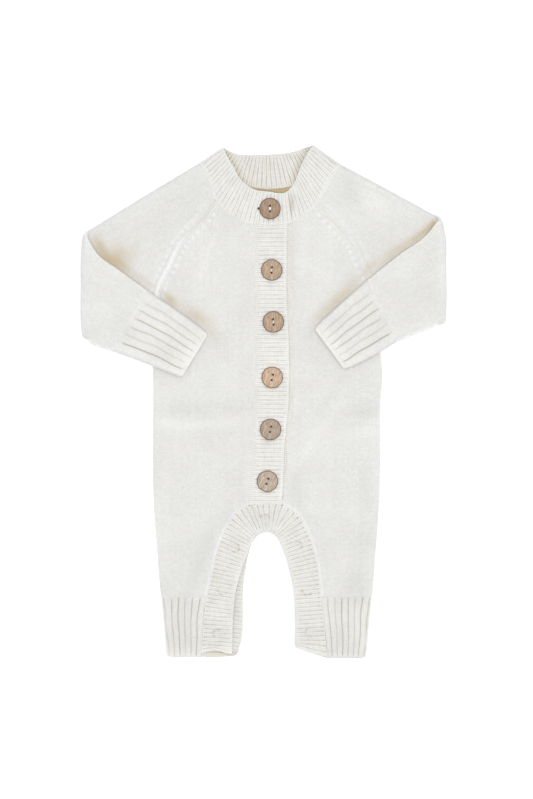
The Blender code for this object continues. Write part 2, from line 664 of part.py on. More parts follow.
def neckband(name, material):
    """One strip: from its lower end under the placket over the left shoulder, round the back, over the
    right shoulder and to its upper end, which laps over the lower one."""
    fractions = (0.0, 0.94, 1.0)
    turned = np.array([EDGE_DROP / 2, 0, EDGE_DROP])
    outer, inner = [], []

    def add_layer(seam_line, edge_line, upper, lapped):
        stations = rib_count((seam_line + edge_line) / 2, NECK_PITCH)
        ribs = fine_ribs(stations)[:, None]
        plan = band_rows(spaced(seam_line, 2 * stations + 1), spaced(edge_line, 2 * stations + 1), fractions)
        if upper:
            low = FRONT + (lap(plan) if lapped else 0)
            high = low + RIB_BASE + ribs - turned
            outer.append(with_height(plan, high))
            inner.append(with_height(plan, low))
        else:
            outer.append(with_height(plan, 0 * ribs))
            inner.append(with_height(plan, WALL - FINE_RIB + ribs))

    def add_shoulder(side, angles):
        end = -1 if side > 0 else 0
        seam_point, edge_point = np.array(NECK_SEAM_FRONT[end]), np.array(NECK_EDGE_FRONT[end])
        rows = shoulder_turn(seam_point, edge_point, side, fractions, angles)
        outer.append(rows[0])
        inner.append(rows[1])

    under = neck_layer(NECK_SEAM_FRONT, NECK_EDGE_FRONT, UNDER_SHARE, 1.0)
    back = neck_layer(NECK_SEAM_BACK, NECK_EDGE_BACK, 0.0, 1.0)
    over = neck_layer(NECK_SEAM_FRONT, NECK_EDGE_FRONT, 0.0, OVER_SHARE)
    angles = np.radians([40, 0, -40])
    add_layer(*under, True, False)
    add_shoulder(1, angles)
    add_layer(back[0][::-1], back[1][::-1], False, False)
    add_shoulder(-1, -angles)
    add_layer(*over, True, True)
    return knitted_wall(name, [(np.concatenate(outer), np.concatenate(inner))], material)


def placket_upper(name, material):
    top, bottom = PLACKET_TOP - SEAM, CROTCH + SEAM
    ribs = round((top - bottom) / PLACKET_PITCH)
    heights = np.linspace(top, bottom, 2 * ribs + 1)
    seam, edge = placket_line(1) + (SEAM / 2, 0), placket_line(2)
    start = np.stack([x_at(seam, heights), heights], axis=1)
    end = np.stack([x_at(edge, heights), heights], axis=1)
    fractions = (0.0, 0.18, 1.0)
    plan = band_rows(start, end, fractions)
    down = smoothstep(bottom + 1.0, bottom + PLACKET_END, heights)[:, None]
    low = FRONT + lap(plan) * down
    turned = np.array([EDGE_DROP / 2, 0, 0])
    high = low + RIB_BASE + fine_ribs(ribs)[:, None] - turned
    return knitted_wall(name, [(with_height(plan, high), with_height(plan, low))], material)


def placket_lower(name, material):
    """The band that carries the buttons: all but its edge is covered, so its ribs are left out."""
    heights = np.linspace(NECK_UNDER_LOW - SEAM, CROTCH + PLACKET_END + 1.5, 30)
    start = np.stack([x_at(placket_line(1), heights) + LAP_RAMP + 0.8, heights], axis=1)
    end = np.stack([x_at(under_seam(), heights) - SEAM / 2, heights], axis=1)
    plan = band_rows(start, end, (0.0, 0.5, 1.0))
    return knitted_wall(name, [(with_height(plan, FRONT + WALL), with_height(plan, FRONT))], material)


def inseam_band_front(name, material):
    seam, edge = inseam(INSEAM_SEAM_FRONT), curve(INSEAM_EDGE_FRONT, SEAM_POINTS)
    ribs = rib_count((seam + edge) / 2, INSEAM_PITCH)
    plan = band_rows(spaced(seam, 2 * ribs + 1), spaced(edge, 2 * ribs + 1), (0.0, 0.32, 1.0))
    lift = np.array([0.0, SNAP_LIFT, 0.8 * SNAP_LIFT])
    turned = np.array([EDGE_DROP / 2, 0, 0])
    low = FRONT + lift
    high = low + RIB_BASE + fine_ribs(ribs)[:, None] - turned
    return knitted_wall(name, [(with_height(plan, high), with_height(plan, low))], material)


def inseam_band_back(name, material):
    """The band under the front one. Its underside lies flat, so the ribs are sunk in its upper face, and
    only on the right leg, where it shows past the front band."""
    seam, edge = inseam(INSEAM_SEAM_BACK), curve(INSEAM_EDGE_BACK, SEAM_POINTS)
    ribs = rib_count((seam + edge) / 2, INSEAM_PITCH)
    kept = [i for i in range(2 * ribs + 1) if i <= ribs or i % 4 == 0 or i == 2 * ribs]
    plan = band_rows(spaced(seam, 2 * ribs + 1), spaced(edge, 2 * ribs + 1), (0.0, 1.0))[kept]
    high = np.where(np.array(kept) <= ribs, WALL - FINE_RIB + fine_ribs(ribs)[kept], WALL)[:, None]
    return knitted_wall(name, [(with_height(plan, 0.0), with_height(plan, high))], material)


def leg_cuff(name, wearer, material):
    """A strip from the front band round the leg's outer side to the back band."""
    side = SIDE[wearer]
    ribs = LEG_CUFF_RIBS[wearer]
    profile = wide_ribs(ribs)
    count = len(profile)
    hem = LEG_HEM[wearer]
    below_top = np.array([SEAM / 2, 3, 12, 34])
    heights = np.concatenate([LEG_CUFF_TOP - below_top, [hem + EDGE_STRIP, hem]])
    shares = (0.5, 1.0, 1.0, 1.0, 1.0, 0.6)
    out = AXIS + side * np.interp(-heights, [-y for y, _ in BODY_SIDE], [half for _, half in BODY_SIDE])
    outward = np.array([side, 0.0])
    outer, inner = [], []
    for y, x, share in zip(heights, out, shares):
        front_x = x_at(inseam_down(INSEAM_SEAM_FRONT, side), y)
        back_x = x_at(inseam_down(INSEAM_SEAM_BACK, side), y)
        centre = x - side * FOLD_OUT
        upper = np.stack([np.linspace(front_x, centre, count), np.full(count, y)], axis=1)
        lower = np.stack([np.linspace(centre, back_x, 4), np.full(4, y)], axis=1)
        over = RIB_BASE + FOLD_IN + profile * share + rise(upper)
        turn = side_turn(upper[-1], outward, MIDDLE, FOLD_OUT)
        turn_in = side_turn(upper[-1], outward, MIDDLE, FOLD_IN)
        outer.append(np.concatenate([with_height(upper, MIDDLE + over), turn, with_height(lower, 0.0)]))
        inner.append(
            np.concatenate([with_height(upper, FRONT + rise(upper)), turn_in, with_height(lower, WALL)])
        )
    return knitted_wall(name, [(np.array(outer), np.array(inner))], material)


# ---- hard pieces ---------------------------------------------------------------------------------
def turned_solid(name, profile, sides, material):
    """A closed profile of (radius, height) turned about Z; its first and last radius are 0."""
    angles = np.arange(sides) * 2 * math.pi / sides
    bottom, rings, top = profile[0][1], profile[1:-1], profile[-1][1]
    vertices = [(0.0, 0.0, bottom)]
    for radius, height in rings:
        vertices += [(radius * math.cos(a), radius * math.sin(a), height) for a in angles]
    vertices.append((0.0, 0.0, top))
    last = len(vertices) - 1
    faces = []
    for k in range(sides):
        following = (k + 1) % sides
        faces.append([0, 1 + following, 1 + k])
        for ring in range(len(rings) - 1):
            low, high = 1 + ring * sides, 1 + (ring + 1) * sides
            faces.append([low + k, low + following, high + following, high + k])
        faces.append([last, last - sides + k, last - sides + following])
    return new_object(name, vertices, faces, material)


def button(name, x, y, turn, holes, material):
    """A turned disc with a rounded rim, a dished face and two drilled holes."""
    r, t = BUTTON_RADIUS, BUTTON_THICK
    profile = (
        (0, 0), (r - 1.4, 0), (r, 0.45 * t), (r - 0.4, 0.88 * t), (r - 1.2, t),
        (r - 3.4, 0.76 * t), (0, 0.72 * t),
    )
    piece = turned_solid(name, profile, 20, material)
    drill = piece.modifiers.new("holes", "BOOLEAN")
    drill.object = holes
    drill.operation = "DIFFERENCE"
    piece.location = (x * MM, y * MM, BUTTON_SITS * MM)
    piece.rotation_euler = (0, 0, math.radians(turn))
    return piece


def drill_for(x, y, turn, material):
    """The two bits that drill one button, kept out of the model."""
    mesh = bmesh.new()
    for side in (-1, 1):
        made = bmesh.ops.create_cone(
            mesh, cap_ends=True, segments=8, radius1=BUTTON_HOLE * MM, radius2=BUTTON_HOLE * MM,
            depth=3 * BUTTON_THICK * MM,
        )
        bmesh.ops.translate(mesh, verts=made["verts"], vec=(0, side * BUTTON_HOLES_APART / 2 * MM, 0))
    data = bpy.data.meshes.new("drill")
    mesh.to_mesh(data)
    mesh.free()
    bits = bpy.data.objects.new("drill", data)
    bpy.context.scene.collection.objects.link(bits)
    bits.location = (x * MM, y * MM, BUTTON_SITS * MM)
    bits.rotation_euler = (0, 0, math.radians(turn))
    bits.hide_render = True
    bits.display_type = "WIRE"
    return bits


def snap_places():
    """Where the snaps sit, on the middle line between the band's seam and its free edge."""
    seam, edge = inseam(INSEAM_SEAM_FRONT), curve(INSEAM_EDGE_FRONT, SEAM_POINTS)
    middle = (spaced(seam, 121) + spaced(edge, 121)) / 2
    places = []
    for where, share in SNAPS:
        offset = {"middle": 0, "right": -1, "left": 1}[where] * share
        places.append(middle[round(60 + 60 * offset)])
    return places


def snap(name, x, y, material):
    """A closed press snap between the two bands."""
    r, t = SNAP_RADIUS, SNAP_THICK
    profile = ((0, 0), (r - 0.4, 0), (r, 0.3 * t), (r, 0.7 * t), (r - 0.4, t), (0, t))
    piece = turned_solid(name, profile, 12, material)
    piece.location = (x * MM, y * MM, FRONT * MM)
    return piece


# ---- the scene -----------------------------------------------------------------------------------
def new_material(name, colour, roughness, metallic=0.0):
    material = bpy.data.materials.new(name)
    material.use_nodes = True
    shader = material.node_tree.nodes["Principled BSDF"]
    shader.inputs["Base Color"].default_value = (*colour, 1)
    shader.inputs["Roughness"].default_value = roughness
    shader.inputs["Metallic"].default_value = metallic
    material.diffuse_color = (*colour, 1)
    return material


def main():
    for old in list(bpy.data.objects):
        bpy.data.objects.remove(old)
    root = bpy.data.objects.new("romper", None)
    bpy.context.scene.collection.objects.link(root)
    knit = new_material("knit", KNIT, 0.9)
    ribbed = new_material("ribbed knit", RIBBED, 0.9)
    wood = new_material("button wood", WOOD, 0.55)
    steel = new_material("snap steel", STEEL, 0.35, 1.0)
    back_panel("back_panel", knit)
    for wearer in ("right", "left"):
        front_panel(f"front_{wearer}_panel", wearer, knit)
        sleeve(f"sleeve_{wearer}", wearer, knit)
        sleeve_cuff(f"cuff_{wearer}", wearer, ribbed)
        leg_cuff(f"leg_cuff_{wearer}", wearer, ribbed)
    neckband("neckband", ribbed)
    placket_upper("placket_upper", ribbed)
    placket_lower("placket_lower", ribbed)
    inseam_band_front("inseam_band_front", ribbed)
    inseam_band_back("inseam_band_back", ribbed)
    for number, (x, y, turn) in enumerate(BUTTONS, 1):
        button(f"button_{number}", x, y, turn, drill_for(x, y, turn, wood), wood)
    for number, (x, y) in enumerate(snap_places(), 1):
        snap(f"snap_{number}", x, y, steel)


main()
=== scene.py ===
# %% [markdown]
# # A knitted baby romper, laid flat
# The real garment is knitted to shape in off-white cotton: plain panels and sleeves, ribbed bands, six
# turned buttons and seven press snaps. It lies on its back, so its cloth is two layers, one on the
# other. Each knitted piece here is one closed wall worked out on a grid of two parameters, because a
# wall has a thickness that shows at every edge, and a grid gives the stitches their own coordinates.

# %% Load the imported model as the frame
import json
import math

import bpy
import numpy as np
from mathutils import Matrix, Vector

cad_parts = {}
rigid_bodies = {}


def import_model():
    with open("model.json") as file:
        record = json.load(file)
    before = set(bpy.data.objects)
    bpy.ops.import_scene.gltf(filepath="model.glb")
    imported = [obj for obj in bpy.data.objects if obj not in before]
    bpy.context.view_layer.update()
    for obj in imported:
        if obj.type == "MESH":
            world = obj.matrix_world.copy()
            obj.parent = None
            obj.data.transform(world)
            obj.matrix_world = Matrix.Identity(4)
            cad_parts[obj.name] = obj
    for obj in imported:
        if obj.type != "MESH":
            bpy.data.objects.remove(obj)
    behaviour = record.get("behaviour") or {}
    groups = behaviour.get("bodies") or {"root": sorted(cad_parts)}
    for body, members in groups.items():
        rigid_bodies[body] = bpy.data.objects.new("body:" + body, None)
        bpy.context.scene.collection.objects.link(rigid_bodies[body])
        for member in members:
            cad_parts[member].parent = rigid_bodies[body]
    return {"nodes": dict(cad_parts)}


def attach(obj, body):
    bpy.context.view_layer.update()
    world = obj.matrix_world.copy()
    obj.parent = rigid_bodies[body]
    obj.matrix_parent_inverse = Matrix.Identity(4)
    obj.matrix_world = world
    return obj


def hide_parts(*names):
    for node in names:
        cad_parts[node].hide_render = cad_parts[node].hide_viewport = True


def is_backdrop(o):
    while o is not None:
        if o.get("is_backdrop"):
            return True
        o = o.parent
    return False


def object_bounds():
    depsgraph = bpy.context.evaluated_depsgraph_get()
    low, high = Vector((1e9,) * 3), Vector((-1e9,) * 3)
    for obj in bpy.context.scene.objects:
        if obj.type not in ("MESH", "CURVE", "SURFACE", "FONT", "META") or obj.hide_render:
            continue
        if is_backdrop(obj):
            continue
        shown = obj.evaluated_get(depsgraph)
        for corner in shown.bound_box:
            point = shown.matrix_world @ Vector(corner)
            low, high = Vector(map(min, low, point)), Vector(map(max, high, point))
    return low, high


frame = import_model()
cad_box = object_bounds()
MM = 0.001  # every size below is in millimetres
print("solids in the frame:", len(frame["nodes"]))

# %% [markdown]
# ## Sizes
# The tables follow the part's own sizes, so that each piece of cloth lies where its solid lies. X runs
# to the wearer's left, Y from the hems to the neck, Z up from the table. The middle surface between the
# two layers is at MIDDLE, and a layer goes round a side on the radius FOLD_OUT.

# %% Cloth and stitches
WALL, SEAM = 2.2, 0.3
FRONT = WALL + SEAM  # underside of the front layer
MIDDLE = WALL + SEAM / 2
FOLD_OUT, FOLD_IN = MIDDLE, SEAM / 2
EDGE_STRIP, EDGE_DROP = 1.5, 0.7  # width over which a free edge is rounded, and how far it comes down
SEWN_DROP = 0.22  # how far a sewn edge comes down
JOIN = -0.12  # sewn edges run into each other by this much, so that no table shows between them
RIB_BASE, FINE_RIB, WIDE_RIB = 1.8, 0.7, 1.0
RIB_TOP, RIB_DEPTH = RIB_BASE + FINE_RIB, 1.15  # thickness on a fine rib, and how deep its hollows go
WALE, COURSE = 1.9, 1.4  # width and height of one stitch
NECK_PITCH, PLACKET_PITCH, INSEAM_PITCH = 3.9, 4.1, 3.9
CUFF_RIBS, LEG_CUFF_RIBS = 7, {"right": 6, "left": 7}  # across one face of a cuff
SIDE = {"right": -1, "left": 1}
AXIS = 2.6  # X of the body's middle line
UNDERARM, LEG_CUFF_TOP, CROTCH, NECK_LOW = 79.0, -182.0, -96.0, 200.7
LEG_HEM = {"right": -239.0, "left": -240.0}
PLACKET_TOP, PLACKET_END, NECK_UNDER_LOW = 166.2, 7.0, 165.8
UNDER_SHARE, OVER_SHARE = 0.5, 0.62  # the neckband's two ends, as shares of the way round the front
UNDER_SHOWS, LAP_RISE, LAP_RAMP, SNAP_LIFT = 2.7, 2.6, 5.6, 2.0
ELBOW_TURN, FOREARM_CROWN = 3.7, 1.6
LEFT_FULLER = (2.4, 24.0, 20.0)  # the left side is this much wider, at this Y, over this half length

# %% Outlines
# Outer side of the body: height Y and half width about AXIS. Raglan seams: half width and Y.
BODY_SIDE = (
    (79.5, 107.0), (40.0, 106.4), (2.0, 106.2), (-45.0, 106.6), (-92.0, 105.8), (-129.0, 103.2),
    (-167.0, 100.4), (-182.0, 99.0), (-205.0, 96.6), (-225.0, 94.8), (-240.0, 93.6),
)
FRONT_RAGLAN = (
    (48.4, 186.6), (56.0, 175.6), (64.4, 166.5), (80.8, 147.9), (92.1, 124.4), (97.0, 116.0),
    (101.5, 103.7), (106.4, 79.5),
)
BACK_RAGLAN = ((51.5, 213.7), (66.0, 186.0), (80.0, 155.0), (92.0, 125.0), (101.0, 100.0), (106.4, 79.5))

# The neckband, as X, Y from the right shoulder to the left: its seam and its free edge on each layer.
NECK_SEAM_FRONT = (
    (-61.4, 223.9), (-55.2, 216.6), (-51.0, 206.1), (-48.4, 195.5), (-44.4, 187.3), (-40.1, 182.2),
    (-32.6, 176.5), (-24.2, 170.8), (-15.7, 168.1), (-7.2, 166.9), (7.8, 166.2), (22.8, 167.6),
    (36.0, 173.3), (46.2, 181.2), (54.0, 192.4), (60.3, 203.3), (66.4, 213.4), (72.8, 222.8),
)
NECK_EDGE_FRONT = (
    (-38.2, 239.3), (-34.2, 231.0), (-28.0, 220.7), (-22.3, 210.1), (-17.5, 205.3), (-7.9, 199.6),
    (5.5, 197.5), (13.3, 196.2), (19.5, 196.6), (27.5, 204.4), (34.3, 220.7), (41.2, 234.6),
    (46.4, 241.5),
)
NECK_SEAM_BACK = (
    (-61.4, 223.9), (-49.0, 214.9), (-35.0, 208.5), (-24.0, 205.2), (-14.5, 202.6), (-6.0, 200.9),
    (6.0, 200.6), (16.0, 200.8), (23.5, 202.2), (34.0, 206.5), (53.9, 214.2), (72.8, 222.8),
)
NECK_EDGE_BACK = (
    (-38.2, 239.3), (-30.4, 235.0), (-23.2, 232.7), (-13.6, 232.2), (-2.2, 232.4), (12.2, 233.1),
    (22.8, 234.1), (31.4, 236.4), (38.4, 239.0), (46.4, 241.5),
)

# The placket, from the neckband down: Y, X of the upper band's seam, X of its free edge.
PLACKET = (
    (166.4, -8.6, 22.4), (96.0, -8.6, 21.9), (54.0, -8.6, 23.8), (2.0, -9.2, 23.6), (-24.0, -9.7, 21.5),
    (-42.0, -10.5, 19.6), (-60.0, -11.5, 19.0), (-87.0, -13.8, 17.8), (-96.2, -14.6, 17.4),
)

# The inseam bands, as X, Y from the right hem over the crotch to the left hem. Their seams share the way
# over the crotch and down the left leg.
SHARED_SEAM = (
    (-17.6, -98.2), (-8.2, -96.4), (2.2, -96.0), (12.5, -96.4), (21.9, -98.4), (32.7, -106.9),
    (40.7, -121.0), (46.3, -137.0), (50.1, -152.9), (52.9, -173.6), (54.8, -193.4), (58.0, -222.0),
)
INSEAM_SEAM_FRONT = (
    (-58.6, -236.6), (-57.6, -222.0), (-55.2, -193.4), (-51.4, -173.6), (-46.7, -152.9), (-43.0, -137.0),
    (-36.4, -121.0), (-28.4, -106.9), *SHARED_SEAM, (59.5, -240.0),
)
INSEAM_EDGE_FRONT = (
    (-29.4, -236.4), (-29.2, -222.0), (-28.3, -198.0), (-26.6, -180.2), (-22.3, -162.3), (-16.0, -144.5),
    (-10.1, -130.4), (-4.4, -123.9), (2.2, -121.6), (8.6, -123.2), (14.4, -129.6), (17.8, -137.4),
    (22.6, -151.7), (28.0, -176.4), (29.4, -198.0), (29.6, -216.0), (29.2, -230.0),
)
INSEAM_SEAM_BACK = (
    (-54.0, -239.6), (-51.5, -222.0), (-47.6, -193.4), (-44.6, -173.6), (-42.6, -152.9), (-40.4, -137.0),
    (-35.6, -121.0), (-28.2, -106.9), *SHARED_SEAM, (59.5, -239.0),
)
INSEAM_EDGE_BACK = (
    (-25.4, -238.2), (-20.6, -222.0), (-19.6, -205.0), (-19.6, -186.0), (-18.8, -169.0), (-16.8, -156.0),
    (-14.6, -144.0), (-9.6, -129.0), (-4.2, -122.2), (2.2, -120.2), (8.6, -122.2), (14.2, -129.0),
    (18.6, -137.0), (23.8, -151.7), (29.2, -176.4), (30.6, -198.0), (30.8, -216.0), (30.4, -229.0),
)

# %% Sleeves, rises and buttons
# Rows of a sleeve: top X, top Y, low X, low Y, height of the flattened tube's middle. "elbow" gives Y
# and X of the fold's outer side, "elbow_slant" how much Y grows from the upper arm to the forearm at its
# top and low side, "bow" how far the upper arm's top side bows out, and "pinch" how far the forearm's
# top corner stands out past the fold.
SLEEVE = {
    "right": {
        "elbow": ((162.0, -169.0), (151.0, -170.6), (110.0, -171.5), (72.0, -171.0), (60.4, -169.6)),
        "elbow_slant": (-5.8, -2.5),
        "forearm": ((-155.3, 138.8, -161.0, 54.4, 9.6), (-135.6, 124.1, -152.0, 51.4, 9.2)),
        "seam": (-109.6, 105.4, -141.7, 48.2, 8.8),
        "cuff": (-81.2, 86.2, -110.0, 36.4, 8.6),
        "end": (-51.4, 64.9, -77.1, 22.9, 8.4),
        "bow": 0.4,
        "pinch": 3.2,
    },
    "left": {
        "elbow": ((176.0, 165.8), (162.0, 169.8), (125.0, 171.2), (95.0, 171.5), (73.5, 170.6)),
        "elbow_slant": (-3.2, -1.0),
        "forearm": ((152.1, 156.6, 157.0, 70.0, 9.6), (127.6, 138.9, 142.0, 64.0, 9.2)),
        "seam": (96.9, 114.5, 125.3, 57.2, 8.8),
        "cuff": (72.9, 93.2, 101.0, 42.6, 8.6),
        "end": (46.8, 69.7, 76.3, 29.9, 8.4),
        "bow": 0.3,
        "pinch": 5.0,
    },
}
# Where the front layer doesn't lie quite down: X, Y, half length, half width, turn in degrees, height.
RISES = (
    (-62.0, -2.0, 44.0, 9.0, -3.0, 1.1), (-60.0, -26.0, 46.0, 9.0, 4.0, 1.3),
    (-55.0, -66.0, 42.0, 36.0, 0.0, 1.0),
    (82.0, -6.0, 30.0, 9.0, 6.0, 0.9), (84.0, -29.0, 32.0, 9.0, -5.0, 1.1),
    (60.0, -72.0, 42.0, 36.0, 0.0, 1.0),
    (-24.0, 118.0, 12.0, 34.0, 0.0, 0.8), (44.0, 128.0, 14.0, 26.0, 0.0, 0.8),
    (60.0, 146.0, 34.0, 5.0, -48.0, 0.9),
    (-66.0, -138.0, 24.0, 30.0, 0.0, 0.8), (74.0, -138.0, 22.0, 30.0, 0.0, 0.9),
    (-112.0, 165.0, 30.0, 18.0, 31.0, 1.2), (118.0, 170.0, 32.0, 18.0, -31.0, 1.2),
)
# Buttons: X, Y, turn of the line through the holes in degrees, lightness and redness of its wood.
BUTTON_RADIUS, BUTTON_THICK, BUTTON_HOLE, BUTTON_HOLES_APART = 10.0, 3.0, 1.2, 5.1
BUTTONS = (
    (5.9, 181.5, 0.0, 0.74, 1.13), (7.5, 123.9, -7.0, 0.99, 1.08), (9.0, 75.3, 4.0, 0.96, 1.08),
    (8.0, 23.3, -14.0, 1.22, 1.07), (6.4, -25.4, -14.0, 0.97, 1.0), (3.5, -74.0, -22.0, 1.17, 0.95),
)
BUTTON_SITS = FRONT + LAP_RISE + RIB_BASE + FINE_RIB + SEAM  # underside, on the upper band's ribs
# Snaps: side of the crotch, distance down the inseam, from 0 at the crotch to 1 at the hem.
SNAPS = (
    ("middle", 0.0), ("right", 0.3), ("right", 0.59), ("right", 0.86),
    ("left", 0.3), ("left", 0.6), ("left", 0.87),
)

# %% [markdown]
# ## Lines
# A knitted edge is smooth, so each table row becomes a point of a cubic curve. The curve is then cut
# into even steps, which keeps the stitches the same size all the way along.


# %% Curves in plan
def distances(line):
    """How far along the line each of its points is."""
    return np.concatenate([[0.0], np.cumsum(np.linalg.norm(np.diff(line, axis=0), axis=1))])


def spaced(line, count):
    """count points at even distances along a line of points."""
    at = distances(line)
    return np.stack([np.interp(np.linspace(0, at[-1], count), at, column) for column in line.T], axis=1)


def curve(points, count):
    """Cubic between each two points, whose slope at a point is that of its neighbours, evenly spaced."""
    points = np.array(points, float)
    at = distances(points)
    slopes = np.gradient(points, at, axis=0)
    fine = np.linspace(0, at[-1], 16 * len(points))
    i = np.clip(np.searchsorted(at, fine, side="right") - 1, 0, len(points) - 2)
    step = (at[i + 1] - at[i])[:, None]
    t = (fine - at[i])[:, None] / step
    line = (2 * t**3 - 3 * t**2 + 1) * points[i] + (3 * t**2 - 2 * t**3) * points[i + 1]
    line += step * ((t**3 - 2 * t**2 + t) * slopes[i] + (t**3 - t**2) * slopes[i + 1])
    return spaced(line, count)


def unit(vector):
    """Vectors of length 1 in the same directions."""
    return vector / np.linalg.norm(vector, axis=-1, keepdims=True)


def aside(line, distance):
    """The line moved to its left by a distance: each point plus distance times the turned tangent."""
    along = unit(np.gradient(line, axis=0))
    return line + distance * np.stack([-along[:, 1], along[:, 0]], axis=1)


def x_at(line, height):
    """X at each height Y of a line that runs downwards."""
    return np.interp(-np.asarray(height), -line[:, 1], line[:, 0])


def crossing(line, x):
    """The point where a line that runs steadily to one side passes X = x."""
    line = line[np.argsort(line[:, 0])]
    return np.array([[x, np.interp(x, line[:, 0], line[:, 1])]])


def downwards(*lines):
    """The lines joined, without the points that don't lie below all before them."""
    joined = np.concatenate(lines)
    lowest = np.minimum.accumulate(np.concatenate([[joined[0, 1] + 1], joined[:-1, 1]]))
    return joined[joined[:, 1] < lowest - 0.05]


def beside(plan, line):
    """Way along a line to the point of it nearest to X, Y, and how far X, Y is to its left."""
    shape = plan.shape[:-1]
    flat, line = plan.reshape(-1, 2), spaced(line, 240)
    tangent = unit(np.gradient(line, axis=0))
    away = (flat[:, None, 0] - line[:, 0]) ** 2 + (flat[:, None, 1] - line[:, 1]) ** 2
    near = np.argmin(away, axis=1)
    offset, tangent = flat - line[near], tangent[near]
    along = distances(line)[near] + np.einsum("ij,ij->i", offset, tangent)
    left = tangent[:, 0] * offset[:, 1] - tangent[:, 1] * offset[:, 0]
    return along.reshape(shape), left.reshape(shape)


# %% Soft steps
def smoothstep(start, end, value):
    """0 before start, 1 after end, and 3t^2 - 2t^3 between them."""
    t = np.clip((value - start) / (end - start), 0, 1)
    return t * t * (3 - 2 * t)


def bell(value, width):
    """exp(-(value / width)^2): 1 at 0, and nearly gone at twice the width."""
    return np.exp(-((value / width) ** 2))


def quarter(distance, radius):
    """A quarter circle from 1 to 0 at the radius: 1 - sqrt(1 - t^2), with t = 1 - distance / radius."""
    t = np.clip(1 - distance / radius, 0, 1)
    return 1 - np.sqrt(1 - t**2)


# %% The outlines as lines
SEAM_POINTS, RAGLAN_POINTS, NECK_POINTS = 200, 40, 20
PAST_MIDDLE = 30  # points by which neck_down goes on past the middle


def raglan(table, side):
    """A raglan seam as X, Y from the neck to the underarm, on one side of AXIS."""
    half = curve(table, RAGLAN_POINTS)
    return np.stack([AXIS + side * half[:, 0], half[:, 1]], axis=1)


def body_side(side):
    """The outer side of the body and leg, from the underarm to the leg's cuff."""
    line = curve([(half, y) for y, half in BODY_SIDE], 120)
    line = line[(line[:, 1] < UNDERARM) & (line[:, 1] > LEG_CUFF_TOP - 2)]
    most, middle, length = LEFT_FULLER
    fuller = most * (side > 0) * bell(line[:, 1] - middle, length)
    return np.stack([AXIS + side * (line[:, 0] + fuller), line[:, 1]], axis=1)


def neck_down(table, side):
    """The edge sewn to the neckband, from one shoulder down to the middle."""
    line = curve(table, SEAM_POINTS)
    line = line if side < 0 else line[::-1]
    return aside(line, side * JOIN)[: len(line) // 2 + PAST_MIDDLE]


def inseam_down(table, side):
    """The leg's edge along an inseam band, from the crotch down to the hem."""
    line = curve(table, SEAM_POINTS)
    half = line[line[:, 0] < AXIS][::-1] if side < 0 else line[line[:, 0] >= AXIS]
    return aside(half, side * JOIN)


def placket_line(column):
    """A column of the placket's table as a line X, Y, from the neckband down."""
    table = np.array(PLACKET)
    return curve(np.stack([table[:, column], table[:, 0]], axis=1), 90)


def under_seam():
    """Seam of the lower placket band, which the upper one covers at its lower end."""
    line = placket_line(2)
    shows = UNDER_SHOWS * smoothstep(CROTCH, CROTCH + 26, line[:, 1])
    return np.stack([line[:, 0] + shows, line[:, 1]], axis=1)


print("placket length, mm:", round(distances(placket_line(1))[-1]))

# %% [markdown]
# ## How high the cloth lies
# A laid-out garment is never quite flat. The large soft places are bell-shaped rises, exp(-a^2 - b^2) of
# the distance along and across each one. Over them goes a slow unevenness, a sum of a few waves, because
# hand-smoothed cloth keeps small swells that catch the light.


# %% Rises and creases
# Creases pressed into the front layer: X, Y, half length, half width, turn in degrees, height.
CREASES = (
    (-62.0, -13.0, 44.0, 5.0, -1.0, -0.9), (90.0, -17.0, 24.0, 5.0, 4.0, -0.9),
    (40.0, -40.0, 26.0, 4.0, 54.0, 0.6), (-140.0, 152.0, 12.0, 4.0, 60.0, 0.4),
    (36.0, 138.0, 28.0, 4.0, 83.0, 0.6), (-52.0, 134.0, 32.0, 3.6, 73.0, 0.6),
    (70.0, 60.0, 20.0, 4.0, -70.0, 0.3), (-62.0, -155.0, 32.0, 7.0, 72.0, -0.8),
)


def bells(plan, table):
    """Sum of the table's bell-shaped rises at X, Y."""
    total = np.zeros(plan.shape[:-1])
    for x, y, length, width, turn, height in table:
        c, s = math.cos(math.radians(turn)), math.sin(math.radians(turn))
        dx, dy = plan[..., 0] - x, plan[..., 1] - y
        total += height * np.exp(-(((dx * c + dy * s) / length) ** 2) - ((dy * c - dx * s) / width) ** 2)
    return total


def rise(plan):
    """How much higher than flat the front layer lies at X, Y."""
    x, y = plan[..., 0], plan[..., 1]
    waves = np.sin(x / 9.7 + 1.3 * np.sin(y / 23)) * np.sin(y / 13.1 + 0.9 * np.sin(x / 17))
    waves += 0.6 * np.sin(x / 5.3 + y / 8.9) * np.sin(y / 6.1 - x / 15.7)
    return bells(plan, RISES) + bells(plan, CREASES) + 0.12 * waves


def lap(plan):
    """How much higher than the front the upper placket band and the neckband's upper end lie."""
    return LAP_RISE * smoothstep(0, LAP_RAMP, plan[..., 0] - x_at(placket_line(1), plan[..., 1]))


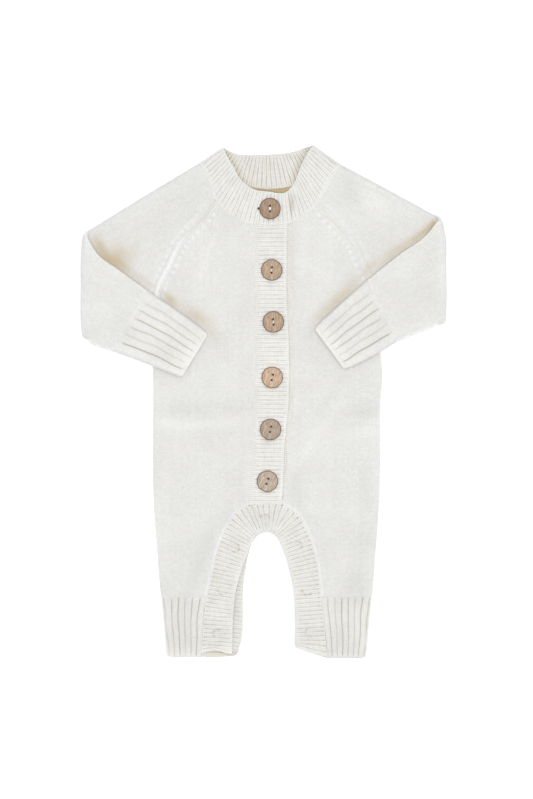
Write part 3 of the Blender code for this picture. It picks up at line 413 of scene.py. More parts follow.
# %% Shades and tones
# Where light that has bounced between two layers is all there is: X, Y, half length, half width, turn,
# share of the hollow colour. These lie just above the folded forearms and beside the placket.
SHADES = (
    (-144.5, 133.2, 19.0, 6.5, -38.0, 0.62), (-154.0, 149.0, 9.0, 4.5, -58.0, 0.42),
    (-122.0, 140.0, 13.0, 5.0, 72.0, 0.16), (-135.0, 139.0, 10.0, 8.0, -40.0, 0.4),
    (-131.0, 129.0, 7.0, 3.5, -38.0, 0.2), (-112.0, 114.0, 18.0, 3.4, -33.0, 0.2),
    (-88.0, 96.0, 9.0, 4.5, -45.0, 0.52), (-62.0, 80.0, 15.0, 6.5, -36.0, 0.4),
    (-47.0, 63.0, 9.0, 5.0, -62.0, 0.14),
    (151.8, 161.0, 23.0, 3.4, 38.5, 0.62), (164.0, 170.5, 8.0, 3.6, 44.0, 0.5),
    (122.5, 141.5, 20.0, 5.0, 37.0, 0.34),
    (99.0, 127.0, 8.0, 4.0, 48.0, 0.3), (72.0, 98.0, 24.0, 6.5, 46.0, 0.4),
    (44.0, 66.0, 8.0, 5.0, 62.0, 0.08), (54.0, 83.0, 12.0, 5.0, 48.0, 0.14),
    (27.0, 138.0, 40.0, 3.2, 90.0, 0.12), (26.0, 40.0, 60.0, 3.0, 90.0, 0.1),
    (-60.0, -38.0, 30.0, 6.0, 8.0, 0.03),
    (-118.0, 160.0, 26.0, 8.0, 40.0, 0.04), (-60.0, 136.0, 22.0, 9.0, 60.0, 0.03),
)
# Painted light and shade: where the cloth turns a little to the light or away from it, lies in a
# crease or in a button's shadow, or shows through the neck: X, Y, half length, half width, turn, share
# by which it is made lighter, darker under 0. The keys are the first words of the pieces' names.
PAINTED_LIGHT_AND_SHADE = {
    "front": (
        (-54.0, 132.0, 34.0, 3.6, 73.0, 0.04), (36.0, 140.0, 28.0, 5.0, 83.0, 0.05),
        (-64.0, -5.0, 46.0, 7.0, 0.0, -0.05), (-68.0, -21.0, 44.0, 5.0, 0.0, 0.065),
        (94.0, -8.0, 18.0, 8.0, 8.0, -0.065), (55.0, -12.0, 12.0, 7.0, 20.0, -0.035),
        (38.0, -47.0, 28.0, 6.0, 54.0, 0.045), (92.0, -29.0, 24.0, 6.0, 4.0, 0.03),
        (30.0, -82.0, 8.0, 18.0, 0.0, -0.05), (96.0, -82.0, 7.0, 30.0, 0.0, -0.06),
        (-62.0, -154.0, 36.0, 9.0, 72.0, -0.085), (-34.0, -112.0, 12.0, 7.0, 50.0, -0.05),
        (-94.0, -172.0, 14.0, 14.0, 0.0, -0.05), (88.0, -166.0, 26.0, 10.0, 76.0, -0.085),
        (60.0, 3.0, 16.0, 6.0, 58.0, -0.055), (30.0, -18.0, 8.0, 6.0, 60.0, -0.045),
        (-30.0, -16.0, 10.0, 5.0, 20.0, 0.04),
        (41.0, -108.0, 12.0, 6.0, -58.0, -0.05), (80.0, 116.0, 12.0, 10.0, 0.0, -0.03),
        (-50.0, 97.0, 12.0, 18.0, 90.0, -0.025), (-14.0, -68.0, 5.0, 22.0, 0.0, 0.05),
        (92.0, -135.0, 10.0, 12.0, 0.0, -0.04), (70.0, -120.0, 26.0, 20.0, 0.0, -0.02),
        (104.5, -70.0, 4.0, 60.0, 1.5, 0.015), (100.5, -155.0, 4.0, 40.0, 3.0, 0.02),
        (-105.0, 15.0, 4.0, 26.0, 0.0, 0.03), (-100.5, -150.0, 4.0, 40.0, -3.0, 0.03),
        (80.0, -92.0, 20.0, 6.0, 0.0, -0.025), (-90.0, -44.0, 14.0, 6.0, 0.0, 0.035),
        (-50.0, -130.0, 18.0, 5.0, 66.0, -0.035), (28.0, -92.0, 7.0, 8.0, 0.0, -0.03),
    ),
    "sleeve": (
        (-80.0, 142.0, 32.0, 3.4, 61.0, 0.03), (74.0, 142.0, 30.0, 3.4, -49.0, 0.025),
        (81.0, 200.0, 18.0, 9.0, -70.0, -0.1), (104.0, 190.0, 17.0, 12.0, -33.0, 0.06),
        (-82.0, 176.0, 44.0, 17.0, 48.0, -0.035), (120.0, 158.0, 18.0, 9.0, 37.0, -0.04),
        (-169.5, 80.0, 40.0, 4.0, 90.0, 0.03), (152.0, 70.0, 18.0, 4.5, 18.0, 0.04),
        (128.0, 170.0, 16.0, 9.0, -33.0, -0.03), (-150.0, 158.0, 8.0, 10.0, 0.0, -0.03),
        (169.5, 112.0, 50.0, 4.5, 91.0, 0.08), (-101.0, 105.0, 5.0, 5.0, 0.0, 0.05),
        (-166.0, 118.0, 24.0, 6.0, 90.0, -0.03), (140.0, 100.0, 20.0, 16.0, 0.0, -0.015),
    ),
    "cuff": (
        (-66.5, 45.5, 30.0, 7.0, 58.0, 0.12), (63.7, 51.5, 30.0, 7.0, -53.0, 0.12),
        (-100.0, 31.0, 36.0, 5.0, -20.0, 0.1), (98.0, 39.0, 32.0, 5.5, 27.6, 0.1),
        (-84.0, 88.0, 36.0, 4.0, -36.0, 0.04), (74.0, 94.0, 34.0, 4.0, 44.0, 0.04),
        (-130.0, 64.0, 10.0, 10.0, 0.0, -0.07), (118.0, 74.0, 12.0, 10.0, 0.0, -0.05),
        (-100.0, 62.0, 18.0, 14.0, -20.0, -0.02), (88.0, 68.0, 16.0, 12.0, 30.0, -0.02),
    ),
    "inseam": (
        (1.0, -105.0, 18.0, 9.0, 0.0, -0.075), (2.0, -118.0, 7.0, 4.0, 0.0, 0.04),
        (13.0, -118.0, 6.0, 5.0, 0.0, 0.1), (-12.0, -122.0, 6.0, 4.0, 0.0, 0.08),
        (1.0, -102.0, 6.0, 4.0, 0.0, 0.06), (-27.0, -193.0, 14.0, 4.0, 90.0, -0.05),
        (-25.0, -160.0, 20.0, 4.5, 78.0, 0.04), (-41.0, -217.0, 10.0, 8.0, 0.0, -0.06),
        (-15.0, -141.0, 20.0, 4.0, 66.0, 0.03), (-30.0, -134.5, 6.0, 6.0, 0.0, -0.05),
        (-50.0, -182.0, 8.0, 8.0, 0.0, -0.03), (44.0, -219.0, 12.0, 7.0, 0.0, -0.05),
        (-46.0, -236.0, 20.0, 5.0, 0.0, 0.15), (45.0, -232.0, 16.0, 4.0, -18.0, 0.06),
        (2.0, -94.0, 12.0, 3.0, 0.0, -0.03),
    ),
    "leg": (
        (-85.0, -183.0, 14.0, 6.0, 0.0, -0.05), (85.0, -183.0, 14.0, 6.0, 0.0, -0.06),
        (94.0, -216.0, 7.0, 26.0, 0.0, 0.07), (-92.0, -234.0, 12.0, 7.0, 0.0, 0.05),
        (-62.0, -208.0, 5.0, 24.0, 0.0, 0.045), (62.0, -206.0, 3.5, 24.0, 0.0, 0.04),
        (-74.0, -238.0, 22.0, 5.0, 0.0, 0.1), (76.0, -239.0, 22.0, 4.0, 0.0, 0.08),
        (-96.0, -205.0, 4.0, 36.0, -3.0, 0.08), (101.0, -196.0, 4.0, 30.0, 3.0, 0.08),
        (-78.0, -205.0, 10.0, 16.0, 0.0, -0.02),
    ),
    "neckband": (
        (5.9, 181.5, 15.0, 15.0, 0.0, 0.04), (27.0, 204.0, 9.0, 6.0, 70.0, 0.03),
        (33.0, 222.0, 10.0, 6.0, 62.0, -0.05), (-49.0, 221.0, 10.0, 5.0, 40.0, -0.05),
        (-30.0, 226.0, 12.0, 5.0, -60.0, 0.03),
    ),
    "back": ((5.0, 203.0, 26.0, 9.0, 0.0, -0.14),),
    "placket": (
        *((x, y, 15.0, 15.0, 0.0, 0.075) for x, y, *_ in BUTTONS[1:]),
        (3.0, -84.0, 16.0, 9.0, 0.0, 0.05), (8.0, 66.0, 7.0, 4.0, 0.0, -0.15),
        (4.0, -37.0, 5.0, 4.0, 0.0, -0.18), (8.0, 13.0, 6.0, 3.0, 0.0, -0.08),
        (2.0, -86.0, 7.0, 3.0, 0.0, -0.1), (8.0, 110.0, 6.0, 3.0, 0.0, -0.05),
        (-7.0, -58.0, 4.0, 20.0, 0.0, 0.04),
    ),
}
MOST_SHADE, MOST_PAINTED_SHADE = 0.88, 0.9  # in the shades alone, and with the stitches' own hollows


# %% Heights and edges
def shade(plan):
    """Share of the hollow colour on the upper side of the cloth at X, Y."""
    return np.minimum(bells(plan, SHADES), MOST_SHADE)


def with_height(plan, height):
    """Points X, Y, Z from plan points and their heights."""
    return np.concatenate([plan, np.broadcast_to(height, plan.shape[:-1])[..., None]], axis=-1)


def edge_round(distance, drop=EDGE_DROP):
    """How far an edge has come down at a distance from it: drop times a quarter circle."""
    return drop * quarter(distance, EDGE_STRIP)


# %% [markdown]
# ## From grids to cloth
# One helper makes every knitted wall. It takes grids of outer and inner points, joins grids that share
# points, and closes each edge that is left over with a rim, so that the wall is one closed body. The
# corner UVs count stitches, across in wales and along in courses. One point value is painted shade: it
# says how deep in a hollow, a crease or under another layer the yarn lies, and mixes it towards a darker
# tan, because light that bounces between off-white yarns comes out warmer. Under 0 it is painted light.
# A second one is painted light and shade: the share by which the yarn is made lighter, darker under 0.


# %% A closed knitted wall
EDGE_PAINTED_LIGHT = 0.1  # painted light: a rounded edge that faces sideways is made lighter by this share, for light that comes through it
PROUD_PAINTED_LIGHT = 0.3  # painted light: yarn that stands proud has painted shade under 0, and is made lighter by this much of it
MOST_PAINTED_LIGHT = 0.15
FACES_SIDEWAYS, FACES_UP = 0.3, 0.9  # Z of a normal between which the painted light on an edge fades out
SHARP_EDGE = math.radians(64)


def knit_wall(name, grids, material, nodes):
    """Outer and inner skins of quads, and a quad rim along every edge that only one cell has.

    A grid may end with a second set of stitch counts and where it holds. A cell takes the second set
    only if all its corners do, because a cell that spanned both would smear many stitches into one.
    """
    cells, start = [], 0
    for grid in grids:
        rows, columns = grid[0].shape[:2]
        index = start + np.arange(rows * columns).reshape(rows, columns)
        corners = (index[:-1, :-1], index[:-1, 1:], index[1:, 1:], index[1:, :-1])
        cells.append(np.stack(corners, axis=-1).reshape(-1, 4))
        start += rows * columns
    cells = np.concatenate(cells)
    outer, inner, uv = (
        np.concatenate([grid[k].reshape(-1, grid[k].shape[-1]) for grid in grids]) for k in range(3)
    )
    painted_shade = np.concatenate([np.broadcast_to(grid[3], grid[0].shape[:2]).ravel() for grid in grids])
    _, first, same = np.unique(np.round(outer, 2), axis=0, return_index=True, return_inverse=True)
    same, count = same.reshape(-1), len(first)
    quads = same[cells]
    following = np.roll(quads, -1, axis=1)
    rim = ~np.isin(quads * count + following, following * count + quads)
    a, b = quads[rim], following[rim]
    rims = np.stack([b, a, a, b], axis=1)
    faces = np.concatenate([quads, quads[:, ::-1] + count, rims + np.array([0, 0, count, count])])
    cell_uv = uv[cells]
    if len(grids[0]) > 4:
        second, holds = grids[0][4].reshape(-1, 2), grids[0][5].reshape(-1)
        cell_uv = np.where(holds[cells].all(axis=1)[:, None, None], second[cells], cell_uv)
    corner_uv = np.concatenate([cell_uv, cell_uv[:, ::-1], uv[first[rims]]])
    points = np.concatenate([outer[first], inner[first]])
    p = points[faces]
    volume = np.einsum("ij,ij->", p[:, 0], np.cross(p[:, 1], p[:, 2]) + np.cross(p[:, 2], p[:, 3]))
    if volume < 0:
        faces, corner_uv = faces[:, ::-1], corner_uv[:, ::-1]

    mesh = bpy.data.meshes.new(name)
    mesh.from_pydata((points * MM).tolist(), [], faces.tolist())
    mesh.uv_layers.new(name="stitches").data.foreach_set("uv", corner_uv.astype(np.float32).ravel())
    off_table = points[:, 2] > 0.6 * WALL
    # Painted light and shade from the listed patches on points above the table, then painted light on
    # proud yarn and on edges that face sideways.
    tone_and_painted_light = np.where(off_table, bells(points[:, :2], PAINTED_LIGHT_AND_SHADE[name.split("_")[0]]), 0)
    tone_and_painted_light[:count] += PROUD_PAINTED_LIGHT * np.maximum(-painted_shade[first], 0)
    normals = np.empty(3 * len(points), np.float32)
    mesh.vertices.foreach_get("normal", normals)
    facing = normals[2::3]
    tone_and_painted_light += EDGE_PAINTED_LIGHT * smoothstep(FACES_UP, FACES_SIDEWAYS, facing) * (facing > -0.2)
    tone_and_painted_light = np.minimum(tone_and_painted_light, MOST_PAINTED_LIGHT)
    for label, value in (("painted_shade", np.tile(painted_shade[first], 2)), ("tone_and_painted_light", tone_and_painted_light)):
        mesh.attributes.new(label, "FLOAT", "POINT").data.foreach_set("value", value.astype(np.float32))
    mesh.shade_smooth()
    mesh.set_sharp_from_angle(angle=SHARP_EDGE)
    return add_piece(name, mesh, material, nodes)


# %% Pieces and grids
def add_piece(name, mesh, material, nodes=()):
    """Puts a mesh in the scene with its material and body, and hides the solids it stands for."""
    mesh.materials.append(material)
    piece = bpy.data.objects.new(name, mesh)
    bpy.context.scene.collection.objects.link(piece)
    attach(piece, "root")
    if nodes:
        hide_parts(*nodes)
    print(f"{name}: {len(mesh.polygons)} faces")
    return piece


def layer(plan, low, high, uv, painted_shade):
    """A grid for knit_wall from plan points and the heights of its two skins."""
    return with_height(plan, high), with_height(plan, low), uv, painted_shade


def stitches(plan):
    """Stitch counts of points X, Y where the wales run along Y."""
    return plan / (WALE, COURSE)


def rib_stitches(wales, along):
    """Stitch counts of ribs, from the wales counted across and the way along them in millimetres."""
    return np.stack(np.broadcast_arrays(wales, along / COURSE), axis=-1)


# %% [markdown]
# ## Camera, table and light
# A garment laid on a table is seen from straight above. A long lens keeps the two sleeves alike. The
# light is a wide soft sky and a large lamp overhead, with a weaker one beyond the neck, so that the
# buttons throw a little shade towards the hems.

# %% Camera
DISTANCE, FRAME_HEIGHT, SENSOR = 3000.0, 751.0, 36.0
LOOK_AT = (2.6, 2.6)
camera = bpy.data.objects.new("camera", bpy.data.cameras.new("camera"))
camera.data.lens = SENSOR * DISTANCE / FRAME_HEIGHT
camera.location = (LOOK_AT[0] * MM, LOOK_AT[1] * MM, DISTANCE * MM)
bpy.context.scene.collection.objects.link(camera)
bpy.context.scene.camera = camera
print("lens, mm:", round(camera.data.lens, 1))


# %% Table
def new_material(name):
    """A material with its nodes and links."""
    material = bpy.data.materials.new(name)
    material.use_nodes = True
    return material, material.node_tree.nodes, material.node_tree.links


def give(node, **values):
    """Sets a node's inputs, whose names are written with _ for a space."""
    for name, value in values.items():
        node.inputs[name.replace("_", " ")].default_value = value
    return node


HALF_TABLE, UNDER_CLOTH = 3.0, 0.0002  # in metres
table_white, nodes, links = new_material("table white")
give(
    nodes["Principled BSDF"], Base_Color=(0.8, 0.8, 0.8, 1), Roughness=0.8, Emission_Color=(1, 1, 1, 1),
    Emission_Strength=0.2,
)
mesh = bpy.data.meshes.new("table")
corners = [(x, y, -UNDER_CLOTH) for x in (-HALF_TABLE, HALF_TABLE) for y in (-HALF_TABLE, HALF_TABLE)]
mesh.from_pydata(corners, [], [(0, 2, 3, 1)])
mesh.materials.append(table_white)
table = bpy.data.objects.new("table", mesh)
bpy.context.scene.collection.objects.link(table)
table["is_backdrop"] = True


# %% Light
def area_light(name, place, size, power, colour):
    """A round lamp that shines at the origin."""
    lamp = bpy.data.lights.new(name, "AREA")
    lamp.shape, lamp.size, lamp.energy, lamp.color = "DISK", size, power, colour
    holder = bpy.data.objects.new(name, lamp)
    holder.location = place
    holder.rotation_euler = (-holder.location).to_track_quat("-Z", "Y").to_euler()
    bpy.context.scene.collection.objects.link(holder)


BLUISH = (0.935, 0.96, 1.0)
area_light("overhead", (0.05, -0.25, 3.3), 1.5, 54.5, BLUISH)
area_light("beyond the neck", (0.3, 1.2, 2.6), 1.0, 9, BLUISH)
world = bpy.data.worlds.new("sky")
bpy.context.scene.world = world
world.use_nodes = True
give(world.node_tree.nodes["Background"], Color=(*BLUISH, 1), Strength=0.75)
bpy.context.scene.view_settings.view_transform = "Standard"

# %% [markdown]
# ## Yarn
# Plain knitting shows columns of small Vs, the wales. Between two wales the surface dips, and each leg
# of a V is a short plump strand that leans outwards. With u counting wales and v counting courses, the
# height is sin(pi s) for the roundness of a leg, s being twice the distance from the wale's middle,
# times a rounded wave of v - 0.7 s for where one leg ends and the next begins. It is a bump, because a
# garment has some thirty thousand stitches.


# %% Node arithmetic
def maths(nodes, links, operation, *values):
    """One Math node; each value is a number or another node's output."""
    node = nodes.new("ShaderNodeMath")
    node.operation = operation
    for socket, value in zip(node.inputs, values):
        if isinstance(value, (int, float)):
            socket.default_value = value
        else:
            links.new(value, socket)
    return node.outputs[0]


def blended(nodes, links, factor, first, second):
    """Mix of two colours; each is a tuple or another node's output."""
    node = nodes.new("ShaderNodeMix")
    node.data_type = "RGBA"
    links.new(factor, node.inputs["Factor"])
    for name, value in (("A", first), ("B", second)):
        if isinstance(value, tuple):
            node.inputs[name].default_value = (*value, 1)
        else:
            links.new(value, node.inputs[name])
    return node.outputs["Result"]


def object_noise(nodes, links, scale, detail=2):
    """Noise in the part's own coordinates, with about scale spots to the metre."""
    node = give(nodes.new("ShaderNodeTexNoise"), Scale=scale, Detail=detail)
    links.new(nodes.new("ShaderNodeTexCoord").outputs["Object"], node.inputs["Vector"])
    return node.outputs["Fac"]


def bumped(nodes, links, height, depth, strength=1.0):
    """Normal of a surface that a height from 0 to 1 raises by depth, in millimetres."""
    node = give(nodes.new("ShaderNodeBump"), Strength=strength, Distance=depth * MM)
    links.new(height, node.inputs["Height"])
    return node.outputs["Normal"]


def given_at_points(nodes, name):
    """The node that reads a value or colour stored at the mesh's points."""
    node = nodes.new("ShaderNodeAttribute")
    node.attribute_name = name
    return node


# %% Knitted cotton
LEAN = 0.7  # courses by which a leg of a V drops across half a wale
GAP_SHADE = 0.4  # share of the hollow colour between two stitches
FIBRES, CLOUDS = 1500, 26  # spots to the metre
DARKER = 0.81  # the darkest yarn, as a share of the colour


def knitted_cotton(name, colour, hollow, depth):
    """Cotton yarn: colour on top, and the hollow colour as painted shade in hollows and between stitches.

    A cloud, each stitch and each wale make it a little uneven, and painted light makes it lighter by its
    share.
    """
    material, nodes, links = new_material(name)

    def m(operation, *values):
        """maths() in this material."""
        return maths(nodes, links, operation, *values)

    def chance(*cell):
        """One random value for each cell, of one or two whole numbers."""
        place = nodes.new("ShaderNodeCombineXYZ")
        for socket, value in zip(place.inputs, cell):
            links.new(value, socket)
        node = nodes.new("ShaderNodeTexWhiteNoise")
        node.noise_dimensions = "2D"
        links.new(place.outputs[0], node.inputs["Vector"])
        return node.outputs["Value"]

    uv = nodes.new("ShaderNodeUVMap")
    uv.uv_map = "stitches"
    split = nodes.new("ShaderNodeSeparateXYZ")
    links.new(uv.outputs["UV"], split.inputs[0])
    u, v = split.outputs[0], split.outputs[1]
    s = m("MULTIPLY", 2.0, m("ABSOLUTE", m("SUBTRACT", m("FRACT", u), 0.5)))
    round_leg = m("SINE", m("MULTIPLY", s, math.pi))
    leaning = m("SUBTRACT", v, m("MULTIPLY", s, LEAN))
    along = m("ABSOLUTE", m("SINE", m("MULTIPLY", leaning, math.pi)))
    plump = m("ADD", 0.35, m("MULTIPLY", 0.65, m("POWER", along, 0.6)))
    height = m("MULTIPLY", round_leg, plump)
    fuzzy = m("ADD", height, m("MULTIPLY", 0.35, object_noise(nodes, links, FIBRES, 3)))

    gap = m("MULTIPLY", GAP_SHADE, m("POWER", m("SUBTRACT", 1.0, height), 1.6))
    hollows = m("MINIMUM", 1.0, m("ADD", given_at_points(nodes, "painted_shade").outputs["Fac"], gap))
    wale, course = m("FLOOR", u), m("FLOOR", leaning)
    mottled = m("MULTIPLY", 0.8, object_noise(nodes, links, CLOUDS))
    mottled = m("ADD", mottled, m("MULTIPLY", 0.4, chance(wale, course)))
    mottled = m("ADD", m("SUBTRACT", mottled, 0.15), m("MULTIPLY", 0.1, chance(wale)))
    base = blended(nodes, links, mottled, tuple(DARKER * c for c in colour), colour)
    base = blended(nodes, links, hollows, base, hollow)
    turned = nodes.new("ShaderNodeVectorMath")
    turned.operation = "SCALE"
    links.new(base, turned.inputs[0])
    links.new(m("ADD", 1.0, given_at_points(nodes, "tone_and_painted_light").outputs["Fac"]), turned.inputs["Scale"])
    shader = nodes["Principled BSDF"]
    links.new(turned.outputs["Vector"], shader.inputs["Base Color"])
    links.new(bumped(nodes, links, fuzzy, depth), shader.inputs["Normal"])
    give(shader, Roughness=0.92, Specular_IOR_Level=0.25, Sheen_Weight=1.0, Sheen_Roughness=0.45)
    return material


# The second colour of each is the painted shade colour, a darker tan for hollows and shaded places.
PLAIN = knitted_cotton("plain knit cotton", (0.943, 0.934, 0.902), (0.60, 0.46, 0.25), 0.4)
RIB = knitted_cotton("rib knit cotton", (0.873, 0.857, 0.814), (0.42, 0.348, 0.225), 0.3)

# %% [markdown]
# ## Panels
# The body is three pieces: a back and two fronts. Each is filled with level rows between its two
# outlines, so that the wales run straight down as they do on the real panel, and the outlines alone
# carry its shape.


# %% Rows between two outlines
EDGE_STEPS = np.array([0.0, 0.35, 0.9, EDGE_STRIP])  # places of the first points beside an edge
SEAM_STEPS = np.concatenate([[0.0, 0.3], np.arange(0.7, 8.4, 0.45)])  # and beside a raglan seam
PANEL_COLUMNS = 36


def across(start, end, count, steps=EDGE_STEPS):
    """Grid X, Y of rows from the line start to the line end, closer together near both."""
    width = np.linalg.norm(end - start, axis=-1)[:, None]
    strip = steps * np.minimum(1 / width, 0.3 / steps[-1])
    even = strip[:, -1:] + (1 - 2 * strip[:, -1:]) * np.linspace(0, 1, count)
    part = np.concatenate([strip[:, :-1], even, 1 - strip[:, -2::-1]], axis=1)[..., None]
    return start[:, None] * (1 - part) + end[:, None] * part


def level_rows(outer, inner, top, bottom, count, steps=EDGE_STEPS, step=2.4):
    """Rows from top to bottom between two outlines that run down, closer beside the raglan seams."""
    change = UNDERARM - 3
    beside_raglan = np.linspace(top - EDGE_STRIP, change, round((top - UNDERARM) / (0.45 * step)))
    below = np.linspace(change, bottom + EDGE_STRIP, round((UNDERARM - bottom) / step))
    edges = top - EDGE_STEPS[:-1], bottom + EDGE_STEPS[-2::-1]
    heights = np.concatenate([edges[0], beside_raglan, below[1:], edges[1]])
    start = np.stack([x_at(outer, heights), heights], axis=1)
    end = np.stack([x_at(inner, heights), heights], axis=1)
    return across(start, end, count, steps)


def edges_down(plan, sides):
    """Drop of the sewn edges of a grid, on its first row, last row, first and last column."""
    width = np.linalg.norm(plan[:, -1] - plan[:, 0], axis=1)[:, None]
    from_start = np.linalg.norm(plan - plan[:, :1], axis=-1)
    from_top, from_bottom = plan[:1, :, 1] - plan[..., 1], plan[..., 1] - plan[-1:, :, 1]
    away = from_top, from_bottom, from_start, width - from_start
    return np.max([edge_round(d, SEWN_DROP) * sewn for d, sewn in zip(away, sides)], axis=0)


# %% Raglan knitting
RAGLAN_WALE, RAGLAN_COURSE, MARK_EVERY = 2.0, 2.1, 6.6
COLUMNS_FROM, COLUMNS_TO, COLUMNS_MIDDLE = -RAGLAN_WALE, 2 * RAGLAN_WALE, RAGLAN_WALE / 2
MARKS = ((-5.2, 0.9), (6.8, 0.6))  # the two rows of narrowing stitches: way into the sleeve, height


def raglan_knit(plan, side):
    """Height, painted shade, stitch counts and where they hold beside a raglan seam.

    d is the way from the seam into the sleeve. Between d = -2 and 4 the wales follow the seam: three
    plump columns, |sin(pi d / 2)| high. Outside them the narrowing stitches stand up as bells, one
    every MARK_EVERY along the seam. The columns' hollows are deepest near the neck, and further down
    the columns rise together as one ridge. Painted shade darkens the hollows, most near the neck, the
    ridge's side and the cloth just below each narrowing stitch. Painted light lightens the ridge and the
    stitches.
    """
    along, d = beside(plan, raglan(FRONT_RAGLAN, side))
    d = side * d
    inside = (d > COLUMNS_FROM - 0.2) & (d < COLUMNS_TO + 0.2) & (along > 0.3)
    band = smoothstep(COLUMNS_FROM - 1, COLUMNS_FROM + 1, d)
    band = band * smoothstep(COLUMNS_TO + 1, COLUMNS_TO - 1, d)
    near_neck = smoothstep(62, 12, along) if side < 0 else 0.45
    ridge = smoothstep(34, 56, along) * (1.0 if side < 0 else 0.35)
    plump = np.abs(np.sin(math.pi * d / RAGLAN_WALE))
    height = band * 0.42 * plump**0.6
    height += 0.5 * ridge * bell(d - COLUMNS_MIDDLE, 1.9)
    hollows = bell((d + 1) % RAGLAN_WALE - 1, 0.4) * band
    painted_shade = hollows * (0.05 + 0.3 * near_neck) * np.exp(-(((d - COLUMNS_MIDDLE) / 1.9) ** 4))
    painted_shade += ridge * (0.1 * bell(d - COLUMNS_TO, 1.0) - 0.3 * bell(d - COLUMNS_MIDDLE, 1.7))
    for off, size in MARKS:
        turn = (along / MARK_EVERY + (off > 0) * 0.5 + 0.12 * np.sin(along / 7.0)) % 1 - 0.5
        mark = np.exp(-(((d - off) / 1.7) ** 2) - ((turn * MARK_EVERY / 2.0) ** 2))
        below = np.exp(-(((d - off) / 1.7) ** 2) - (((turn * MARK_EVERY + 2.6) / 1.2) ** 2))
        height += size * mark
        painted_shade += (0.14 * below - 0.24 * mark) * smoothstep(0, 12, along)
    seam_uv = np.stack([d / RAGLAN_WALE, -along / RAGLAN_COURSE], axis=-1)
    starts = smoothstep(0, 4, along)
    return height * starts, painted_shade * starts, seam_uv, inside


# %% Front panels
def front_panel(wearer):
    """Height FRONT + rise(X, Y) under, and one wall more on top, less at the rounded edges.

    The outer line is the raglan seam and the side, and the inner one the neck, placket and inseam.
    """
    side = SIDE[wearer]
    raglan_edge = aside(raglan(FRONT_RAGLAN, side), -side * JOIN)
    outer = downwards(raglan_edge, body_side(side))
    placket = (placket_line(1) if side < 0 else under_seam()) + (side * JOIN, 0)
    neck, arch = neck_down(NECK_SEAM_FRONT, side), inseam_down(INSEAM_SEAM_FRONT, side)
    top_corner, low_corner = crossing(neck, placket[0, 0]), crossing(arch, placket[-1, 0])
    corner = raglan_edge[0]
    neck = neck[(side * (neck[:, 0] - corner[0]) < 3) & (side * (neck[:, 0] - placket[0, 0]) > 0.5)]
    arch = arch[side * (arch[:, 0] - placket[-1, 0]) > 0.5]
    placket = placket[(placket[:, 1] < top_corner[0, 1] - 1) & (placket[:, 1] > low_corner[0, 1] + 1)]
    inner = downwards(neck, top_corner, placket, low_corner, arch)
    heights = np.linspace(corner[1] + 2, corner[1] - 4, 200)
    top = heights[side * (x_at(outer, heights) - x_at(inner, heights)) > 0.3][0]
    plan = level_rows(outer, inner, top, LEG_CUFF_TOP + JOIN, PANEL_COLUMNS, SEAM_STEPS)
    low = FRONT + rise(plan)
    relief, painted_shade, seam_uv, holds = raglan_knit(plan, side)
    from_arch = np.abs(beside(plan, curve(INSEAM_SEAM_FRONT, SEAM_POINTS))[1])
    relief += 0.4 * bell(from_arch - 1.5, 0.8)
    # Painted shade from the shades and the raglan seam, and painted light on the ridge beside the inseam
    # band.
    painted_shade = np.minimum(shade(plan) + (painted_shade - 0.2 * bell(from_arch - 1.6, 0.8)), MOST_PAINTED_SHADE)
    high = low + WALL + relief - edges_down(plan, (1, 1, 1, 1))
    grid = (*layer(plan, low, high, stitches(plan), painted_shade), seam_uv, holds)
    return knit_wall(f"front_{wearer}", [grid], PLAIN, [f"front_{wearer}_panel"])


front_right, front_left = front_panel("right"), front_panel("left")


# %% Back panel
BACK_TOP = 211.0


def back_panel():
    """Two halves that share the line X = AXIS; the outer skin lies on the table."""
    grids = []
    for side in (-1, 1):
        raglan_edge = aside(raglan(BACK_RAGLAN, side), -side * JOIN)
        outer = downwards(raglan_edge, body_side(side))
        neck = neck_down(NECK_SEAM_BACK, side)
        neck = neck[(side * (neck[:, 0] - raglan_edge[0, 0]) < 3) & (neck[:, 1] > NECK_LOW + 0.2)]
        arch = inseam_down(INSEAM_SEAM_BACK, side)
        arch = arch[side * (arch[:, 0] - AXIS) > EDGE_STRIP]
        middle = np.array([(AXIS, NECK_LOW), (AXIS, CROTCH + 2 * SEAM)])
        inner = downwards(neck, middle, arch)
        plan = level_rows(outer, inner, BACK_TOP, LEG_CUFF_TOP + JOIN, PANEL_COLUMNS, step=3.0)
        plan = plan if side < 0 else plan[:, ::-1]
        down = edges_down(plan, (1, 1, side < 0, side > 0))
        # Painted shade: the back's upper skin is a little darker all over, and much darker where it shows
        # through the neck opening.
        neck_opening_shade = smoothstep(178, 194, plan[..., 1]) * smoothstep(34, 26, np.abs(plan[..., 0] - AXIS))
        painted_shade = 0.15 + 0.8 * neck_opening_shade
        grids.append(layer(plan, np.full(plan.shape[:2], WALL), down, stitches(plan), painted_shade))
    return knit_wall("back", grids, PLAIN, ["back_panel"])


back = back_panel()

# %% [markdown]
# ## Sleeves
# A sleeve is a tube laid flat, so each cross-section is a flattened ring: over the top, round the top
# side, back underneath and round the low side. Rings are blended from the slanting armhole to the elbow,
# carried round the elbow on a bend of radius ELBOW_TURN, and laid down again along the forearm.


# %% Flattened rings
def side_turn(centre, outward, middle, radius, count=5):
    """Points where a tube turns round its side: centre + r cos(a) outward, middle + r sin(a)."""
    angles = np.linspace(math.pi / 2, -math.pi / 2, count + 2)[1:-1]
    plan = centre + radius * np.cos(angles)[:, None] * outward
    return np.concatenate([plan, (middle + radius * np.sin(angles))[:, None]], axis=1)


